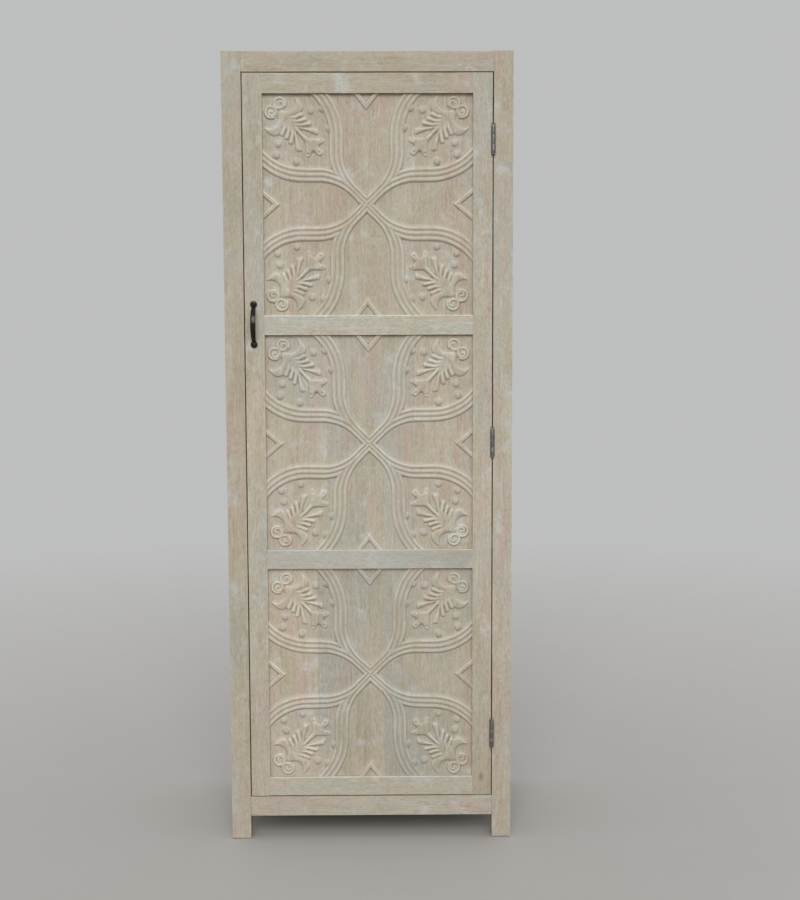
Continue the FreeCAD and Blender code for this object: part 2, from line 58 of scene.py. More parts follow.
LOG = logging.getLogger("cabinet")
MM = 0.001
SHARP_ANGLE = math.radians(40)
OVERCUT = 0.01
NOTCH_PLAY = 0.0005
PARALLEL = 0.999
ON_SIDE = 0.0002
POSTS = ("front_left_post", "back_left_post", "front_right_post", "back_right_post")
HINGE_LEVELS = ("lower", "middle", "upper")
Piece = bpy.types.Object
Socket = bpy.types.NodeSocket
Array = np.ndarray
Colour = tuple[float, float, float]
Span = tuple[Vector, Vector]
Outline = Sequence[tuple[float, float]]
BODY_OF = {
    node: body
    for body, nodes in frame["record"]["behaviour"]["bodies"].items()
    for node in nodes
}


class Axis(Enum):
    """Directions of the cabinet: across its front, into its depth and upwards."""

    ACROSS = 0
    DEEP = 1
    UP = 2


class Slot(Enum):
    """Material slots of the part."""

    OUTER_WOOD = "whitewashed_wood"
    INNER_WOOD = "inner_wood"
    HINGE_STEEL = "hinge_steel"
    IRON = "black_iron"
    STRIKE = "strike_steel"


class NodeSketch:
    """Node tree of one material, drawn from its pattern to its surface."""

    def __init__(self, name: str) -> None:
        """Start a material that holds only its surface shader.

        Args:
            name: Name of the material.
        """
        self.material = bpy.data.materials.new(name)
        self.material.use_nodes = True
        self.tree = self.material.node_tree
        self.shader = self.tree.nodes["Principled BSDF"]

    @classmethod
    def on(cls, tree: bpy.types.NodeTree) -> "NodeSketch":
        """Draw on a tree that exists, such as the world's.

        Args:
            tree: Node tree.

        Returns:
            A sketch with no surface shader.
        """
        sketch = cls.__new__(cls)
        sketch.tree = tree
        return sketch

    def seen(self) -> Socket:
        """Tell rays that show a surface or background from those that light others.

        Returns:
            One for the first, none for the others.
        """
        rays = self.node("LightPath").outputs
        seen = self.maths("MAXIMUM", rays["Is Camera Ray"], rays["Is Glossy Ray"])
        return self.maths("MAXIMUM", seen, rays["Is Transmission Ray"])

    def node(self, kind: str, **settings: object) -> bpy.types.Node:
        """Add a shader node.

        Args:
            kind: Type of the node without its ShaderNode prefix.
            settings: Properties to set on it.

        Returns:
            The new node.
        """
        made = self.tree.nodes.new("ShaderNode" + kind)
        for key, value in settings.items():
            setattr(made, key, value)
        return made

    def feed(self, socket: Socket, value: object) -> None:
        """Link a socket to an output, or set its own value.

        Args:
            socket: Input to feed.
            value: Output socket, number, vector or colour.
        """
        if isinstance(value, Socket):
            self.tree.links.new(value, socket)
        elif isinstance(value, tuple) and len(socket.default_value) == 4:
            socket.default_value = (*value, 1.0)
        else:
            socket.default_value = value

    def set(self, **values: object) -> None:
        """Feed the surface shader's inputs, named with _ for a space."""
        for key, value in values.items():
            self.feed(self.shader.inputs[key.replace("_", " ")], value)

    def place(self) -> Socket:
        """Place on the piece, moved by the piece's own shift so that no two pieces are alike."""
        where = self.node("TexCoord").outputs["Object"]
        return self.vector("ADD", where, self.attribute("shift", "Vector"))

    def combined(self, made: bpy.types.Node, *values: object) -> Socket:
        """Feed a node's inputs in their order.

        Args:
            made: The node.
            values: Values for its first inputs.

        Returns:
            Its first output.
        """
        for socket, value in zip(made.inputs, values):
            self.feed(socket, value)
        return made.outputs[0]

    def vector(self, operation: str, first: object, second: object) -> Socket:
        """Vector arithmetic on two values."""
        return self.combined(self.node("VectorMath", operation=operation), first, second)

    def maths(self, operation: str, first: object, second: object) -> Socket:
        """Arithmetic on two numbers."""
        return self.combined(self.node("Math", operation=operation), first, second)

    def length(self, where: object) -> Socket:
        """Measure a vector.

        Args:
            where: The vector.

        Returns:
            Its length.
        """
        made = self.node("VectorMath", operation="LENGTH")
        self.feed(made.inputs[0], where)
        return made.outputs["Value"]

    def blend(self, share: object, first: object, second: object) -> Socket:
        """Blend of two shaders, with a share of the second one."""
        return self.combined(self.node("MixShader"), share, first, second)

    def attribute(self, name: str, output: str = "Fac") -> Socket:
        """Attribute stored on the piece's mesh."""
        return self.node("Attribute", attribute_name=name).outputs[output]

    def noise(self, where: object, scale: float, detail: float = 3.0, roughness: float = 0.55,
              distortion: float = 0.0) -> Socket:
        """Cloudy pattern.

        Args:
            where: Vector that it is read at.
            scale: Clouds to a metre.
            detail: How many finer layers it has.
            roughness: Weight of the finer layers.
            distortion: How much it swirls.

        Returns:
            The pattern, from 0 to 1.
        """
        made = self.node("TexNoise")
        for key, value in (("Vector", where), ("Scale", scale), ("Detail", detail),
                           ("Roughness", roughness), ("Distortion", distortion)):
            self.feed(made.inputs[key], value)
        return made.outputs["Fac"]

    def spread(self, value: object, low: float, high: float, to_low: float = 0.0,
               to_high: float = 1.0) -> Socket:
        """Stretch a range of values to another range, and clamp it there."""
        return self.combined(self.node("MapRange"), value, low, high, to_low, to_high)

    def mix(self, amount: object, first: object, second: object, blend: str = "MIX") -> Socket:
        """Mix two colours.

        Args:
            amount: Share of the second colour.
            first: Colour that is there.
            second: Colour that comes over it.
            blend: How the second meets the first.

        Returns:
            The mixed colour.
        """
        made = self.node("Mix", data_type="RGBA", blend_type=blend)
        self.feed(made.inputs[0], amount)
        self.feed(made.inputs[6], first)
        self.feed(made.inputs[7], second)
        return made.outputs[2]

    def over(self, colour: object, coat: object, pattern: object, low: float, high: float,
             share: float = 1.0) -> Socket:
        """Colour under a share of a coat, which comes in as a pattern goes from low to high."""
        return self.mix(self.spread(pattern, low, high, 0.0, share), colour, coat)

    def bump(self, height: object, strength: float, distance: float) -> Socket:
        """Turn a fine relief into a surface normal.

        Args:
            height: The relief.
            strength: How much of it shows.
            distance: Its full height.

        Returns:
            The normal.
        """
        made = self.node("Bump")
        made.inputs["Strength"].default_value = strength
        made.inputs["Distance"].default_value = distance
        self.feed(made.inputs["Height"], height)
        return made.outputs["Normal"]


@dataclass(frozen=True)
class Finish:
    """Finish of a surface, mixed once and shared by the pieces that have it."""

    name: str

    def material(self) -> bpy.types.Material:
        """Material of this finish."""
        return bpy.data.materials.get(self.name) or self.compose()

    def compose(self) -> bpy.types.Material:
        """Mix the material for the first time."""
        raise NotImplementedError


@dataclass(frozen=True)
class WashedWood(Finish):
    """Wood under a whitewash worn thin by rubbing, with its grain along one axis.

    Pieces carry attributes: shift is the pattern's own offset, tone how pale the wood is, chill
    how cool its wash and blush how rosy it is. Worn edges have arris, and faces that the wash
    left out have unwashed. Crests have carve above zero and hollows below it, and knot is a place.

    Attributes:
        stretches: How short the grain's axis gets for fibres, strips, drifts and brush marks.
        cover: Least and most share of the wash.
        unwashed: Share of bare wood on faces that the wash left out.
        paleness: Factor on every tone.
    """

    grain: Axis
    olive: Colour = (0.395, 0.345, 0.235)
    tan: Colour = (0.440, 0.372, 0.275)
    rosy: Colour = (0.470, 0.345, 0.275)
    wash: Colour = (0.484, 0.446, 0.352)
    cool_wash: Colour = (0.392, 0.408, 0.362)
    pore: Colour = (0.215, 0.165, 0.110)
    filler: Colour = (0.590, 0.570, 0.505)
    edge: Colour = (0.640, 0.600, 0.500)
    # Dark brown of the knots' cores, also painted into deep hollows as dirt and as shade
    grime_and_shade: Colour = (0.215, 0.170, 0.115)
    bloom: Colour = (0.520, 0.545, 0.525)
    honey: Colour = (0.500, 0.415, 0.275)
    bare: Colour = (0.560, 0.400, 0.240)
    stretches: tuple[float, ...] = (0.045, 0.16, 0.45, 0.30)
    cover: tuple[float, float] = (0.14, 0.84)
    unwashed: float = 0.80
    paleness: float = 1.04

    def compose(self) -> bpy.types.Material:
        """Mix the wood, its pores, the wash over it and the wear of its edges.

        Returns:
            The new material.
        """
        sketch = NodeSketch(self.name)
        where = sketch.place()
        fibre, strip, drift, brushed = (self.drawn_out(sketch, where, share) for share in self.stretches)
        rub = sketch.noise(where, 60.0, 4.0, 0.68)
        bloom = sketch.noise(sketch.vector("ADD", where, (3.7, 1.9, 5.3)), 21.0, 4.0, 0.62)
        colour = self.washed(sketch, self.timber(sketch, fibre, strip), strip, drift, rub)
        colour = sketch.over(colour, self.bloom, bloom, 0.57, 0.72, 0.70)
        colour = sketch.over(colour, self.bloom, sketch.attribute("chill"), 1.0, 3.0, 0.60)
        colour, relief = self.pores(sketch, colour, fibre, drift)
        for grit, share in ((sketch.noise(brushed, 400.0, 2.0, 0.6), 0.34),
                            (sketch.noise(brushed, 150.0, 3.0, 0.6), 0.18)):
            colour = sketch.over(colour, self.filler, grit, 0.54, 0.72, share)
            colour = sketch.over(colour, self.pore, grit, 0.46, 0.28, share)
        colour = self.worn(sketch, colour, rub, bloom)
        colour = self.knotted(sketch, colour, rub)
        bare = sketch.maths("MULTIPLY", sketch.attribute("unwashed"), self.unwashed)
        colour = sketch.mix(bare, colour, self.bare)
        tone = sketch.node("CombineColor")
        for socket in tone.inputs:
            sketch.feed(socket, sketch.maths("MULTIPLY", sketch.attribute("tone"), self.paleness))
        colour = sketch.mix(1.0, colour, tone.outputs[0], "MULTIPLY")
        sketch.set(Base_Color=colour, Roughness=sketch.spread(rub, 0.3, 0.7, 0.62, 0.82),
                   Specular_IOR_Level=0.25, Normal=sketch.bump(relief, 0.45, 0.0008))
        return sketch.material

    def washed(self, sketch: NodeSketch, wood: object, strip: object, drift: object,
               rub: object) -> Socket:
        """Wood under its wash, which is cool in some places and thin in others.

        Args:
            sketch: Sketch to draw on.
            wood: Colour of the bare wood.
            strip: Place drawn out to strips.
            drift: Place drawn out a little.
            rub: Cloudy pattern that makes the wash uneven.

        Returns:
            The washed colour.
        """
        chill = sketch.attribute("chill")
        haze = sketch.noise(drift, 7.5, 3.0, 0.6)
        haze = sketch.maths("ADD", haze, sketch.maths("MULTIPLY", chill, 0.18))
        wash = sketch.over(self.wash, self.cool_wash, haze, 0.40, 0.60)
        patches = sketch.noise(strip, 19.0, 5.0, 0.66)
        cover = sketch.maths("ADD", patches, sketch.spread(rub, 0.25, 0.75, -0.13, 0.13))
        cover = sketch.maths("ADD", cover, sketch.maths("MULTIPLY", chill, 0.03))
        return sketch.mix(sketch.spread(cover, 0.36, 0.64, *self.cover), wood, wash)

    def worn(self, sketch: NodeSketch, colour: object, rub: object, bloom: object) -> Socket:
        """Colour with dust in the hollows, dirt and painted shade in the deep ones, and pale wear
        on edges and crests, where the crests' paleness is also a painted highlight.

        Args:
            sketch: Sketch to draw on.
            colour: Colour of the washed wood.
            rub: Cloudy pattern that makes the edges' wear uneven.
            bloom: Cloudy pattern that turns some of the wear to honey.

        Returns:
            The colour with its wear, dust, dirt, painted shade and painted highlight.
        """
        carve = sketch.attribute("carve")
        dusty = sketch.maths("SUBTRACT", sketch.spread(carve, -0.05, -0.40),
                             sketch.spread(carve, -0.45, -0.85))
        colour = sketch.mix(sketch.maths("MULTIPLY", dusty, 0.38), colour, self.bloom)
        # Painted shade: deep hollows are darkened to dark brown, partly as dirt and partly as the shade that
        # falls in them
        colour = sketch.over(colour, self.grime_and_shade, carve, -0.35, -1.0, 0.58)
        # Painted highlight: crests get the pale edge colour, partly as worn wash and partly as the light that
        # they catch
        crest = sketch.spread(carve, 0.06, 0.60, 0.0, 0.66)
        edges = sketch.spread(rub, 0.3, 0.6, 0.20, 0.62)
        edges = sketch.maths("MULTIPLY", sketch.attribute("arris"), edges)
        pale_wear_and_highlight = sketch.over(self.edge, self.honey, bloom, 0.48, 0.38, 0.75)
        return sketch.mix(sketch.maths("MAXIMUM", crest, edges), colour, pale_wear_and_highlight)

    def drawn_out(self, sketch: NodeSketch, where: object, share: float) -> Socket:
        """Shorten the grain's axis, so that patterns are drawn out along it.

        Args:
            sketch: Sketch to draw on.
            where: Place or distance.
            share: What is left of the axis.

        Returns:
            The place on the shortened axis.
        """
        squeeze = [1.0, 1.0, 1.0]
        squeeze[self.grain.value] = share
        return sketch.vector("MULTIPLY", where, tuple(squeeze))

    def knotted(self, sketch: NodeSketch, colour: object, rub: object) -> Socket:
        """Colour with a dark knot at the place that the piece stores.

        Args:
            sketch: Sketch to draw on.
            colour: Colour of the wood.
            rub: Cloudy pattern that makes the knot's rim uneven.

        Returns:
            The colour with the knot.
        """
        where = sketch.node("TexCoord").outputs["Object"]
        away = sketch.vector("SUBTRACT", where, sketch.attribute("knot", "Vector"))
        reach = sketch.length(self.drawn_out(sketch, away, 0.6))
        reach = sketch.maths("ADD", reach, sketch.spread(rub, 0.3, 0.7, -0.002, 0.002))
        colour = sketch.over(colour, self.rosy, reach, 0.026, 0.006, 0.40)
        return sketch.over(colour, self.grime_and_shade, reach, 0.0075, 0.002, 0.62)

    def timber(self, sketch: NodeSketch, fibre: object, strip: object) -> Socket:
        """Bare wood in bands from olive over tan to rosy, with fine streaks.

        Args:
            sketch: Sketch to draw on.
            fibre: Place drawn out to fibres.
            strip: Place drawn out to strips.

        Returns:
            The wood's colour.
        """
        band = sketch.noise(strip, 24.0, 3.0, 0.55, 0.7)
        band = sketch.maths("ADD", band, sketch.maths("MULTIPLY", sketch.attribute("blush"), 0.12))
        wood = sketch.over(self.olive, self.tan, band, 0.36, 0.50)
        wood = sketch.over(wood, self.rosy, band, 0.50, 0.64)
        streaks = sketch.noise(fibre, 170.0, 6.0, 0.66, 0.6)
        return sketch.over(wood, self.pore, streaks, 0.52, 0.30, 0.42)

    def pores(self, sketch: NodeSketch, colour: object, fibre: object,
              drift: object) -> tuple[Socket, Socket]:
        """Pores of the wood, some dark and some filled with wash.

        Args:
            sketch: Sketch to draw on.
            colour: Colour of the washed wood.
            fibre: Place drawn out to fibres.
            drift: Place drawn out a little.

        Returns:
            The colour with the pores, and their relief.
        """
        fine, coarse = sketch.noise(fibre, 820.0, 2.0, 0.5), sketch.noise(fibre, 330.0, 3.0, 0.6)
        zone = sketch.spread(sketch.noise(drift, 13.0, 2.0), 0.40, 0.62, 0.25, 1.0)
        for pits, limit, share in ((fine, 0.60, 0.40), (coarse, 0.585, 0.32)):
            dark = sketch.maths("MULTIPLY", sketch.spread(pits, limit, limit + 0.13, 0.0, share), zone)
            colour = sketch.mix(dark, colour, self.pore)
        colour = sketch.over(colour, self.filler, coarse, 0.42, 0.28, 0.50)
        relief = sketch.maths("ADD", sketch.maths("MULTIPLY", coarse, -1.0),
                              sketch.maths("MULTIPLY", fine, -0.6))
        return colour, relief


@dataclass(frozen=True)
class Metal(Finish):
    """Metal with a mottled tone and fine scuffs.

    Attributes:
        base: Its colour.
        stain: Colour of its stains.
        stained: Most share of the stains.
        metallic: How far it shines as a metal.
        roughness: Least and most roughness.
        dents: Strength of its dents.
    """

    base: Colour
    stain: Colour
    stained: float
    metallic: float
    roughness: tuple[float, float]
    dents: float

    def compose(self) -> bpy.types.Material:
        """Mix the metal, its stains and its scuffs.

        Returns:
            The new material.
        """
        sketch = NodeSketch(self.name)
        where = sketch.place()
        mottle = sketch.noise(where, 160.0, 5.0, 0.6)
        scuffs = sketch.noise(sketch.vector("MULTIPLY", where, (1.0, 1.0, 0.2)), 900.0, 3.0)
        hammer = sketch.noise(where, 210.0, 1.0)
        colour = sketch.over(self.base, self.stain, mottle, 0.45, 0.70, self.stained)
        rough = sketch.spread(sketch.maths("ADD", mottle, scuffs), 0.75, 1.25, *self.roughness)
        relief = sketch.maths("ADD", hammer, sketch.maths("MULTIPLY", scuffs, 0.15))
        sketch.set(Base_Color=colour, Metallic=self.metallic, Roughness=rough,
                   Normal=sketch.bump(relief, self.dents, 0.0012))
        return sketch.material


@dataclass(frozen=True)
class Moulded(Finish):
    """Moulded plastic or dull magnet with a fine texture."""

    base: Colour
    roughness: float

    def compose(self) -> bpy.types.Material:
        """Mix the moulded surface.

        Returns:
            The new material.
        """
        sketch = NodeSketch(self.name)
        where = sketch.place()
        grain = sketch.noise(where, 1500.0, 3.0)
        fade = sketch.noise(where, 70.0, 3.0)
        shade = tuple(0.82 * part for part in self.base)
        sketch.set(Base_Color=sketch.over(self.base, shade, fade, 0.4, 0.65),
                   Roughness=sketch.spread(grain, 0.3, 0.7, self.roughness - 0.06, self.roughness + 0.06),
                   Normal=sketch.bump(grain, 0.18, 0.0003))
        return sketch.material


OUTER_WOOD = {axis: WashedWood("washed_" + axis.name.lower(), axis) for axis in Axis}
INNER_WOOD = {
    axis: WashedWood("inner_" + axis.name.lower(), axis, cover=(0.04, 0.55))
    for axis in Axis
}
HINGE_STEEL = Metal("hinge_zinc", (0.235, 0.233, 0.226), (0.095, 0.088, 0.078), stained=0.75, metallic=1.0,
                    roughness=(0.46, 0.64), dents=0.10)
SCREW_STEEL = Metal("screw_zinc", (0.400, 0.395, 0.375), (0.220, 0.200, 0.170), stained=0.50, metallic=1.0,
                    roughness=(0.36, 0.52), dents=0.05)
BLACK_IRON = Metal("black_forged_iron", (0.024, 0.018, 0.012), (0.036, 0.025, 0.016), stained=0.60,
                   metallic=0.7, roughness=(0.16, 0.28), dents=0.25)
STRIKE_STEEL = Metal("strike_zinc", (0.50, 0.50, 0.49), (0.33, 0.32, 0.30), stained=0.45, metallic=1.0,
                     roughness=(0.28, 0.44), dents=0.08)
CATCH_PLASTIC = Moulded("brown_catch_plastic", (0.155, 0.098, 0.060), 0.46)
MAGNET_BLACK = Moulded("dull_magnet", (0.045, 0.044, 0.043), 0.62)


@dataclass(frozen=True)
class Ease:
    """A rounding of the sharp edges that run along one axis.

    Attributes:
        width: Width of the rounding.
        along: Axis that the edges run along.
        sides: Axes and ends, -1 or 1, where the edges have to lie.
        segments: Facets of the rounding.
    """

    width: float
    along: Axis
    sides: tuple[tuple[Axis, int], ...] = ()
    segments: int = 2

    def takes(self, edge: bmesh.types.BMEdge, low: Vector, high: Vector) -> bool:
        """Whether this rounding takes an edge.

        Args:
            edge: Edge of the piece.
            low: Lowest corner of the piece.
            high: Highest corner of the piece.

        Returns:
            True if the edge is sharp, runs along the axis and lies on the sides.
        """
        start, end = (vertex.co for vertex in edge.verts)
        run = end - start
        if len(edge.link_faces) != 2 or abs(run[self.along.value]) < PARALLEL * run.length:
            return False
        if edge.calc_face_angle(0.0) < SHARP_ANGLE:
            return False
        limits = [(axis.value, (high if way > 0 else low)[axis.value]) for axis, way in self.sides]
        return all(abs(start[i] - limit) < ON_SIDE for i, limit in limits)


class Bench:
    """Hand operations on one piece at a time."""

    @staticmethod
    def only(piece: Piece) -> None:
        """Select one piece and nothing else.

        Args:
            piece: Piece to select.
        """
        bpy.ops.object.select_all(action="DESELECT")
        piece.select_set(True)
        bpy.context.view_layer.objects.active = piece

    @staticmethod
    @contextmanager
    def editing(piece: Piece) -> Iterator[bmesh.types.BMesh]:
        """Open a piece in edit mode with nothing selected.

        Args:
            piece: Piece to open.

        Yields:
            The mesh, for selecting edges and faces.
        """
        Bench.only(piece)
        bpy.ops.object.mode_set(mode="EDIT")
        bpy.context.tool_settings.mesh_select_mode = (True, True, True)
        bpy.ops.mesh.select_all(action="DESELECT")
        yield bmesh.from_edit_mesh(piece.data)
        bpy.ops.object.mode_set(mode="OBJECT")

    @staticmethod
    def settle(piece: Piece) -> Piece:
        """Apply a piece's place, so that its object sits at the origin.

        Args:
            piece: Piece to settle.

        Returns:
            The same piece.
        """
        Bench.only(piece)
        bpy.ops.object.transform_apply(location=True, rotation=True, scale=True)
        return piece

    @staticmethod
    def add(name: str, primitive: Callable[..., object], scale: Sequence[float] = (1.0, 1.0, 1.0),
            **settings: object) -> Piece:
        """Add a primitive.

        Args:
            name: Name of the piece.
            primitive: Operator that adds it.
            scale: Its size on each axis, before it turns.
            settings: What the operator is told.

        Returns:
            The new piece, with its object at the origin.
        """
        bpy.ops.object.select_all(action="DESELECT")
        primitive(**settings)
        piece = bpy.context.active_object
        piece.name = name
        piece.scale = scale
        return Bench.settle(piece)

    @staticmethod
    def block(name: str, span: Span) -> Piece:
        """Add a block between two corners.

        Args:
            name: Name of the piece.
            span: Lowest and highest corner.

        Returns:
            The new piece.
        """
        low, high = span
        return Bench.add(name, bpy.ops.mesh.primitive_cube_add, high - low, size=1.0,
                         location=(low + high) / 2)

    @staticmethod
    def drum(name: str, centre: Vector, radius: float, depth: float, along: Axis,
             sides: int = 32) -> Piece:
        """Add a cylinder.

        Args:
            name: Name of the piece.
            centre: Its middle.
            radius: Its radius.
            depth: Its length.
            along: Axis that it runs along.
            sides: Number of its sides.

        Returns:
            The new piece.
        """
        turns = {
            Axis.ACROSS: (0.0, math.pi / 2, 0.0),
            Axis.DEEP: (math.pi / 2, 0.0, 0.0),
            Axis.UP: (0.0, 0.0, 0.0),
        }
        return Bench.add(name, bpy.ops.mesh.primitive_cylinder_add, vertices=sides, radius=radius,
                         depth=depth, location=centre, rotation=turns[along])

    @staticmethod
    def modify(piece: Piece, kind: str, **settings: object) -> None:
        """Add a modifier to a piece and apply it.

        Args:
            piece: Piece to change.
            kind: Type of the modifier.
            settings: Properties of the modifier.
        """
        Bench.only(piece)
        made = piece.modifiers.new(kind.lower(), kind)
        for key, value in settings.items():
            setattr(made, key, value)
        bpy.ops.object.modifier_apply(modifier=made.name)

    @staticmethod
    def cut(piece: Piece, tools: Sequence[Piece]) -> None:
        """Cut tools out of a piece and remove them.

        Args:
            piece: Piece to cut.
            tools: Pieces that are cut out of it.
        """
        for tool in tools:
            Bench.modify(piece, "BOOLEAN", operation="DIFFERENCE", solver="EXACT", object=tool)
            bpy.data.objects.remove(tool)

    @staticmethod
    def round_off(piece: Piece, eases: Sequence[Ease]) -> None:
        """Round a piece's edges.

        Args:
            piece: Piece to change.
            eases: Roundings, in the order that they are cut.
        """
        low, high = Bench.span(piece)
        for ease in eases:
            with Bench.editing(piece) as mesh:
                for edge in mesh.edges:
                    if ease.takes(edge, low, high):
                        edge.select_set(True)
                bpy.ops.mesh.bevel(offset_type="OFFSET", offset=ease.width, segments=ease.segments,
                                   profile=0.5, affect="EDGES", clamp_overlap=True)

    @staticmethod
    def rim(piece: Piece, width: float, segments: int = 3) -> None:
        """Round every sharp edge of a small piece with one width."""
        Bench.modify(piece, "BEVEL", width=width, segments=segments, limit_method="ANGLE",
                     angle_limit=SHARP_ANGLE, harden_normals=False)

    @staticmethod
    def span(piece: Piece) -> Span:
        """Lowest and highest corner of a piece."""
        points = Bench.points(piece)
        return Vector(points.min(0)), Vector(points.max(0))

    @staticmethod
    def vectors(items: bpy.types.bpy_prop_collection, key: str) -> Array:
        """Read a vector of each of a mesh's vertices or faces.

        Args:
            items: Vertices or faces.
            key: Name of the vector.

        Returns:
            The vectors, one to a row.
        """
        flat = np.empty(len(items) * 3)
        items.foreach_get(key, flat)
        return flat.reshape(-1, 3)

    @staticmethod
    def points(piece: Piece) -> Array:
        """Vertices of a piece, one to a row."""
        return Bench.vectors(piece.data.vertices, "co")

    @staticmethod
    def move_points(piece: Piece, points: Array) -> None:
        """Put a piece's vertices in new places."""
        piece.data.vertices.foreach_set("co", points.ravel())
        piece.data.update()

    @staticmethod
    def part(places: Sequence[float], axis: Axis) -> None:
        """Cut the faces of the piece in edit mode across an axis.

        Args:
            places: Where the cuts lie on the axis.
            axis: Axis that they lie across.
        """
        normal = Vector((0.0, 0.0, 0.0))
        normal[axis.value] = 1.0
        for place in places:
            bpy.ops.mesh.select_all(action="SELECT")
            bpy.ops.mesh.bisect(plane_co=normal * place, plane_no=normal, use_fill=False)

    @staticmethod
    def slice_up(piece: Piece, axis: Axis, step: float) -> None:
        """Cut a piece's faces across one axis, so that its sides can waver.

        Args:
            piece: Piece to cut.
            axis: Axis that the cuts lie across.
            step: Distance between the cuts.
        """
        low, high = (corner[axis.value] for corner in Bench.span(piece))
        count = max(2, round((high - low) / step))
        with Bench.editing(piece):
            Bench.part([low + (high - low) * i / count for i in range(1, count)], axis)

    @staticmethod
    def waver(piece: Piece, depth: float, size: float) -> None:
        """Make a sawn and planed piece uneven by hand, inward only.

        Args:
            piece: Piece to change.
            depth: Most that its surface goes in.
            size: Length of its waves.
        """
        clouds = bpy.data.textures.new(piece.name + "_plane_marks", "CLOUDS")
        clouds.noise_scale = size
        clouds.noise_depth = 1
        Bench.modify(piece, "DISPLACE", texture=clouds, texture_coords="GLOBAL", strength=depth,
                     mid_level=1.0)

    @staticmethod
    def join(pieces: Sequence[Piece], name: str) -> Piece:
        """Join pieces into one.

        Args:
            pieces: Pieces, of which the first one stays.
            name: Name of the joined piece.

        Returns:
            The joined piece.
        """
        Bench.only(pieces[0])
        for piece in pieces:
            piece.select_set(True)
        if len(pieces) > 1:
            bpy.ops.object.join()
        pieces[0].name = name
        return pieces[0]

    @staticmethod
    def copy(piece: Piece, place: Matrix) -> Piece:
        """Copy a piece with its own mesh.

        Args:
            piece: Piece to copy.
            place: Matrix that moves the copy.

        Returns:
            The copy.
        """
        twin = piece.copy()
        twin.data = piece.data.copy()
        twin.data.transform(place)
        bpy.context.scene.collection.objects.link(twin)
        return twin

    @staticmethod
    def smooth(piece: Piece, angle: float = 32.0) -> None:
        """Shade a piece smooth, apart from its sharp edges."""
        Bench.only(piece)
        bpy.ops.object.shade_smooth_by_angle(angle=math.radians(angle))

    @staticmethod
    def note(piece: Piece, name: str, values: Array, domain: str = "POINT") -> None:
        """Store a number, or a vector, at each vertex or face of a piece.

        Args:
            piece: Piece to store them on.
            name: Name of the attribute.
            values: Numbers, or vectors as rows.
            domain: POINT for vertices or FACE for faces.
        """
        kind = "FLOAT_VECTOR" if values.ndim == 2 else "FLOAT"
        made = piece.data.attributes.get(name) or piece.data.attributes.new(name, kind, domain)
        made.data.foreach_set("vector" if values.ndim == 2 else "value", values.astype(np.float32).ravel())


class Dresser:
    """Gives finished pieces their pattern, finish, body and the node that they stand for.

    Attributes:
        SQUARE: Least share of a facing on one axis for a face that is no worn edge.
        FACING: Least share of a facing on a way for a face that looks that way.
        SHIFT: Most that a piece's pattern is moved on an axis.
        TONES: Least and most tone of a piece.
        BLUSH: Most blush of a piece.
    """

    SQUARE = 0.97
    FACING = 0.9
    SHIFT = 4.0
    TONES = (0.965, 1.035)
    BLUSH = 0.8

    def __init__(self, seed: int) -> None:
        """Start the seeded draws that make each piece's pattern its own."""
        self.draws = np.random.default_rng(seed)

    def mark(self, piece: Piece, gap: Sequence[Vector] = ()) -> None:
        """Store a piece's own pattern shift, tone, blush, worn edges and unwashed faces.

        Args:
            piece: Piece to mark.
            gap: Ways that its faces in the gap round the door look, which have no wash.
        """
        count = len(piece.data.vertices)
        shift = self.draws.uniform(-self.SHIFT, self.SHIFT, 3)
        Bench.note(piece, "shift", np.tile(shift, (count, 1)))
        Bench.note(piece, "tone", np.full(count, self.draws.uniform(*self.TONES)))
        Bench.note(piece, "blush", np.full(count, self.draws.uniform(-self.BLUSH, self.BLUSH)))
        facings = Bench.vectors(piece.data.polygons, "normal")
        Bench.note(piece, "arris", np.abs(facings).max(1) < self.SQUARE, "FACE")
        if gap:
            Bench.note(piece, "unwashed", np.max([facings @ way for way in gap], 0) > self.FACING, "FACE")

    def dress(self, piece: Piece, finish: Finish, node: str, replaced: bool = True) -> None:
        """Give a piece its finish and put it on its body.

        Args:
            piece: Finished piece.
            finish: Its finish.
            node: CAD node that it belongs to.
            replaced: Whether it stands for that node.
        """
        piece.data.materials.clear()
        piece.data.materials.append(finish.material())
        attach(piece, BODY_OF[node])
        if replaced:
            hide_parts(node)
        LOG.info("%s rides on %s, %d faces", piece.name, BODY_OF[node], len(piece.data.polygons))

    def fit(self, parts: Sequence[Piece], name: str, finish: Finish, node: str,
            angle: float = 32.0, replaced: bool = True) -> None:
        """Join the bare parts of a metal fitting, mark and dress them.

        Args:
            parts: Bare parts.
            name: Name of the joined piece.
            finish: Its finish.
            node: CAD node that it belongs to.
            angle: Angle of the edges that stay sharp, in degrees.
            replaced: Whether it stands for that node.
        """
        piece = Bench.join(parts, name)
        Bench.smooth(piece, angle)
        self.mark(piece)
        self.dress(piece, finish, node, replaced)


DRESSER = Dresser(1807)


@dataclass(frozen=True)
class Shade:
    """How pale, cool and rosy a wooden piece is.

    Attributes:
        tone: Places along its grain and the factor on its colour there.
        chill: Places along its grain and how cool the wash is there, about -1 to 3.
        blush: How rosy the wood is, about -1 to 1.
        knot: Middle of a knot. The middle of the floor, where no wood is, stands for none.
    """

    tone: Outline
    chill: Outline = ((0.0, 0.0),)
    blush: float = 0.0
    knot: tuple[float, float, float] = (0.0, 0.0, 0.0)

    def note(self, piece: Piece, grain: Axis) -> None:
        """Store this shade on a piece, over the tone and blush that it drew.

        Args:
            piece: Marked piece.
            grain: Axis that its fibres run along.
        """
        places = Bench.points(piece)[:, grain.value]
        Bench.note(piece, "tone", np.interp(places, *np.asarray(self.tone).T))
        Bench.note(piece, "chill", np.interp(places, *np.asarray(self.chill).T))
        Bench.note(piece, "blush", np.full(len(places), self.blush))
        Bench.note(piece, "knot", np.tile(self.knot, (len(places), 1)))


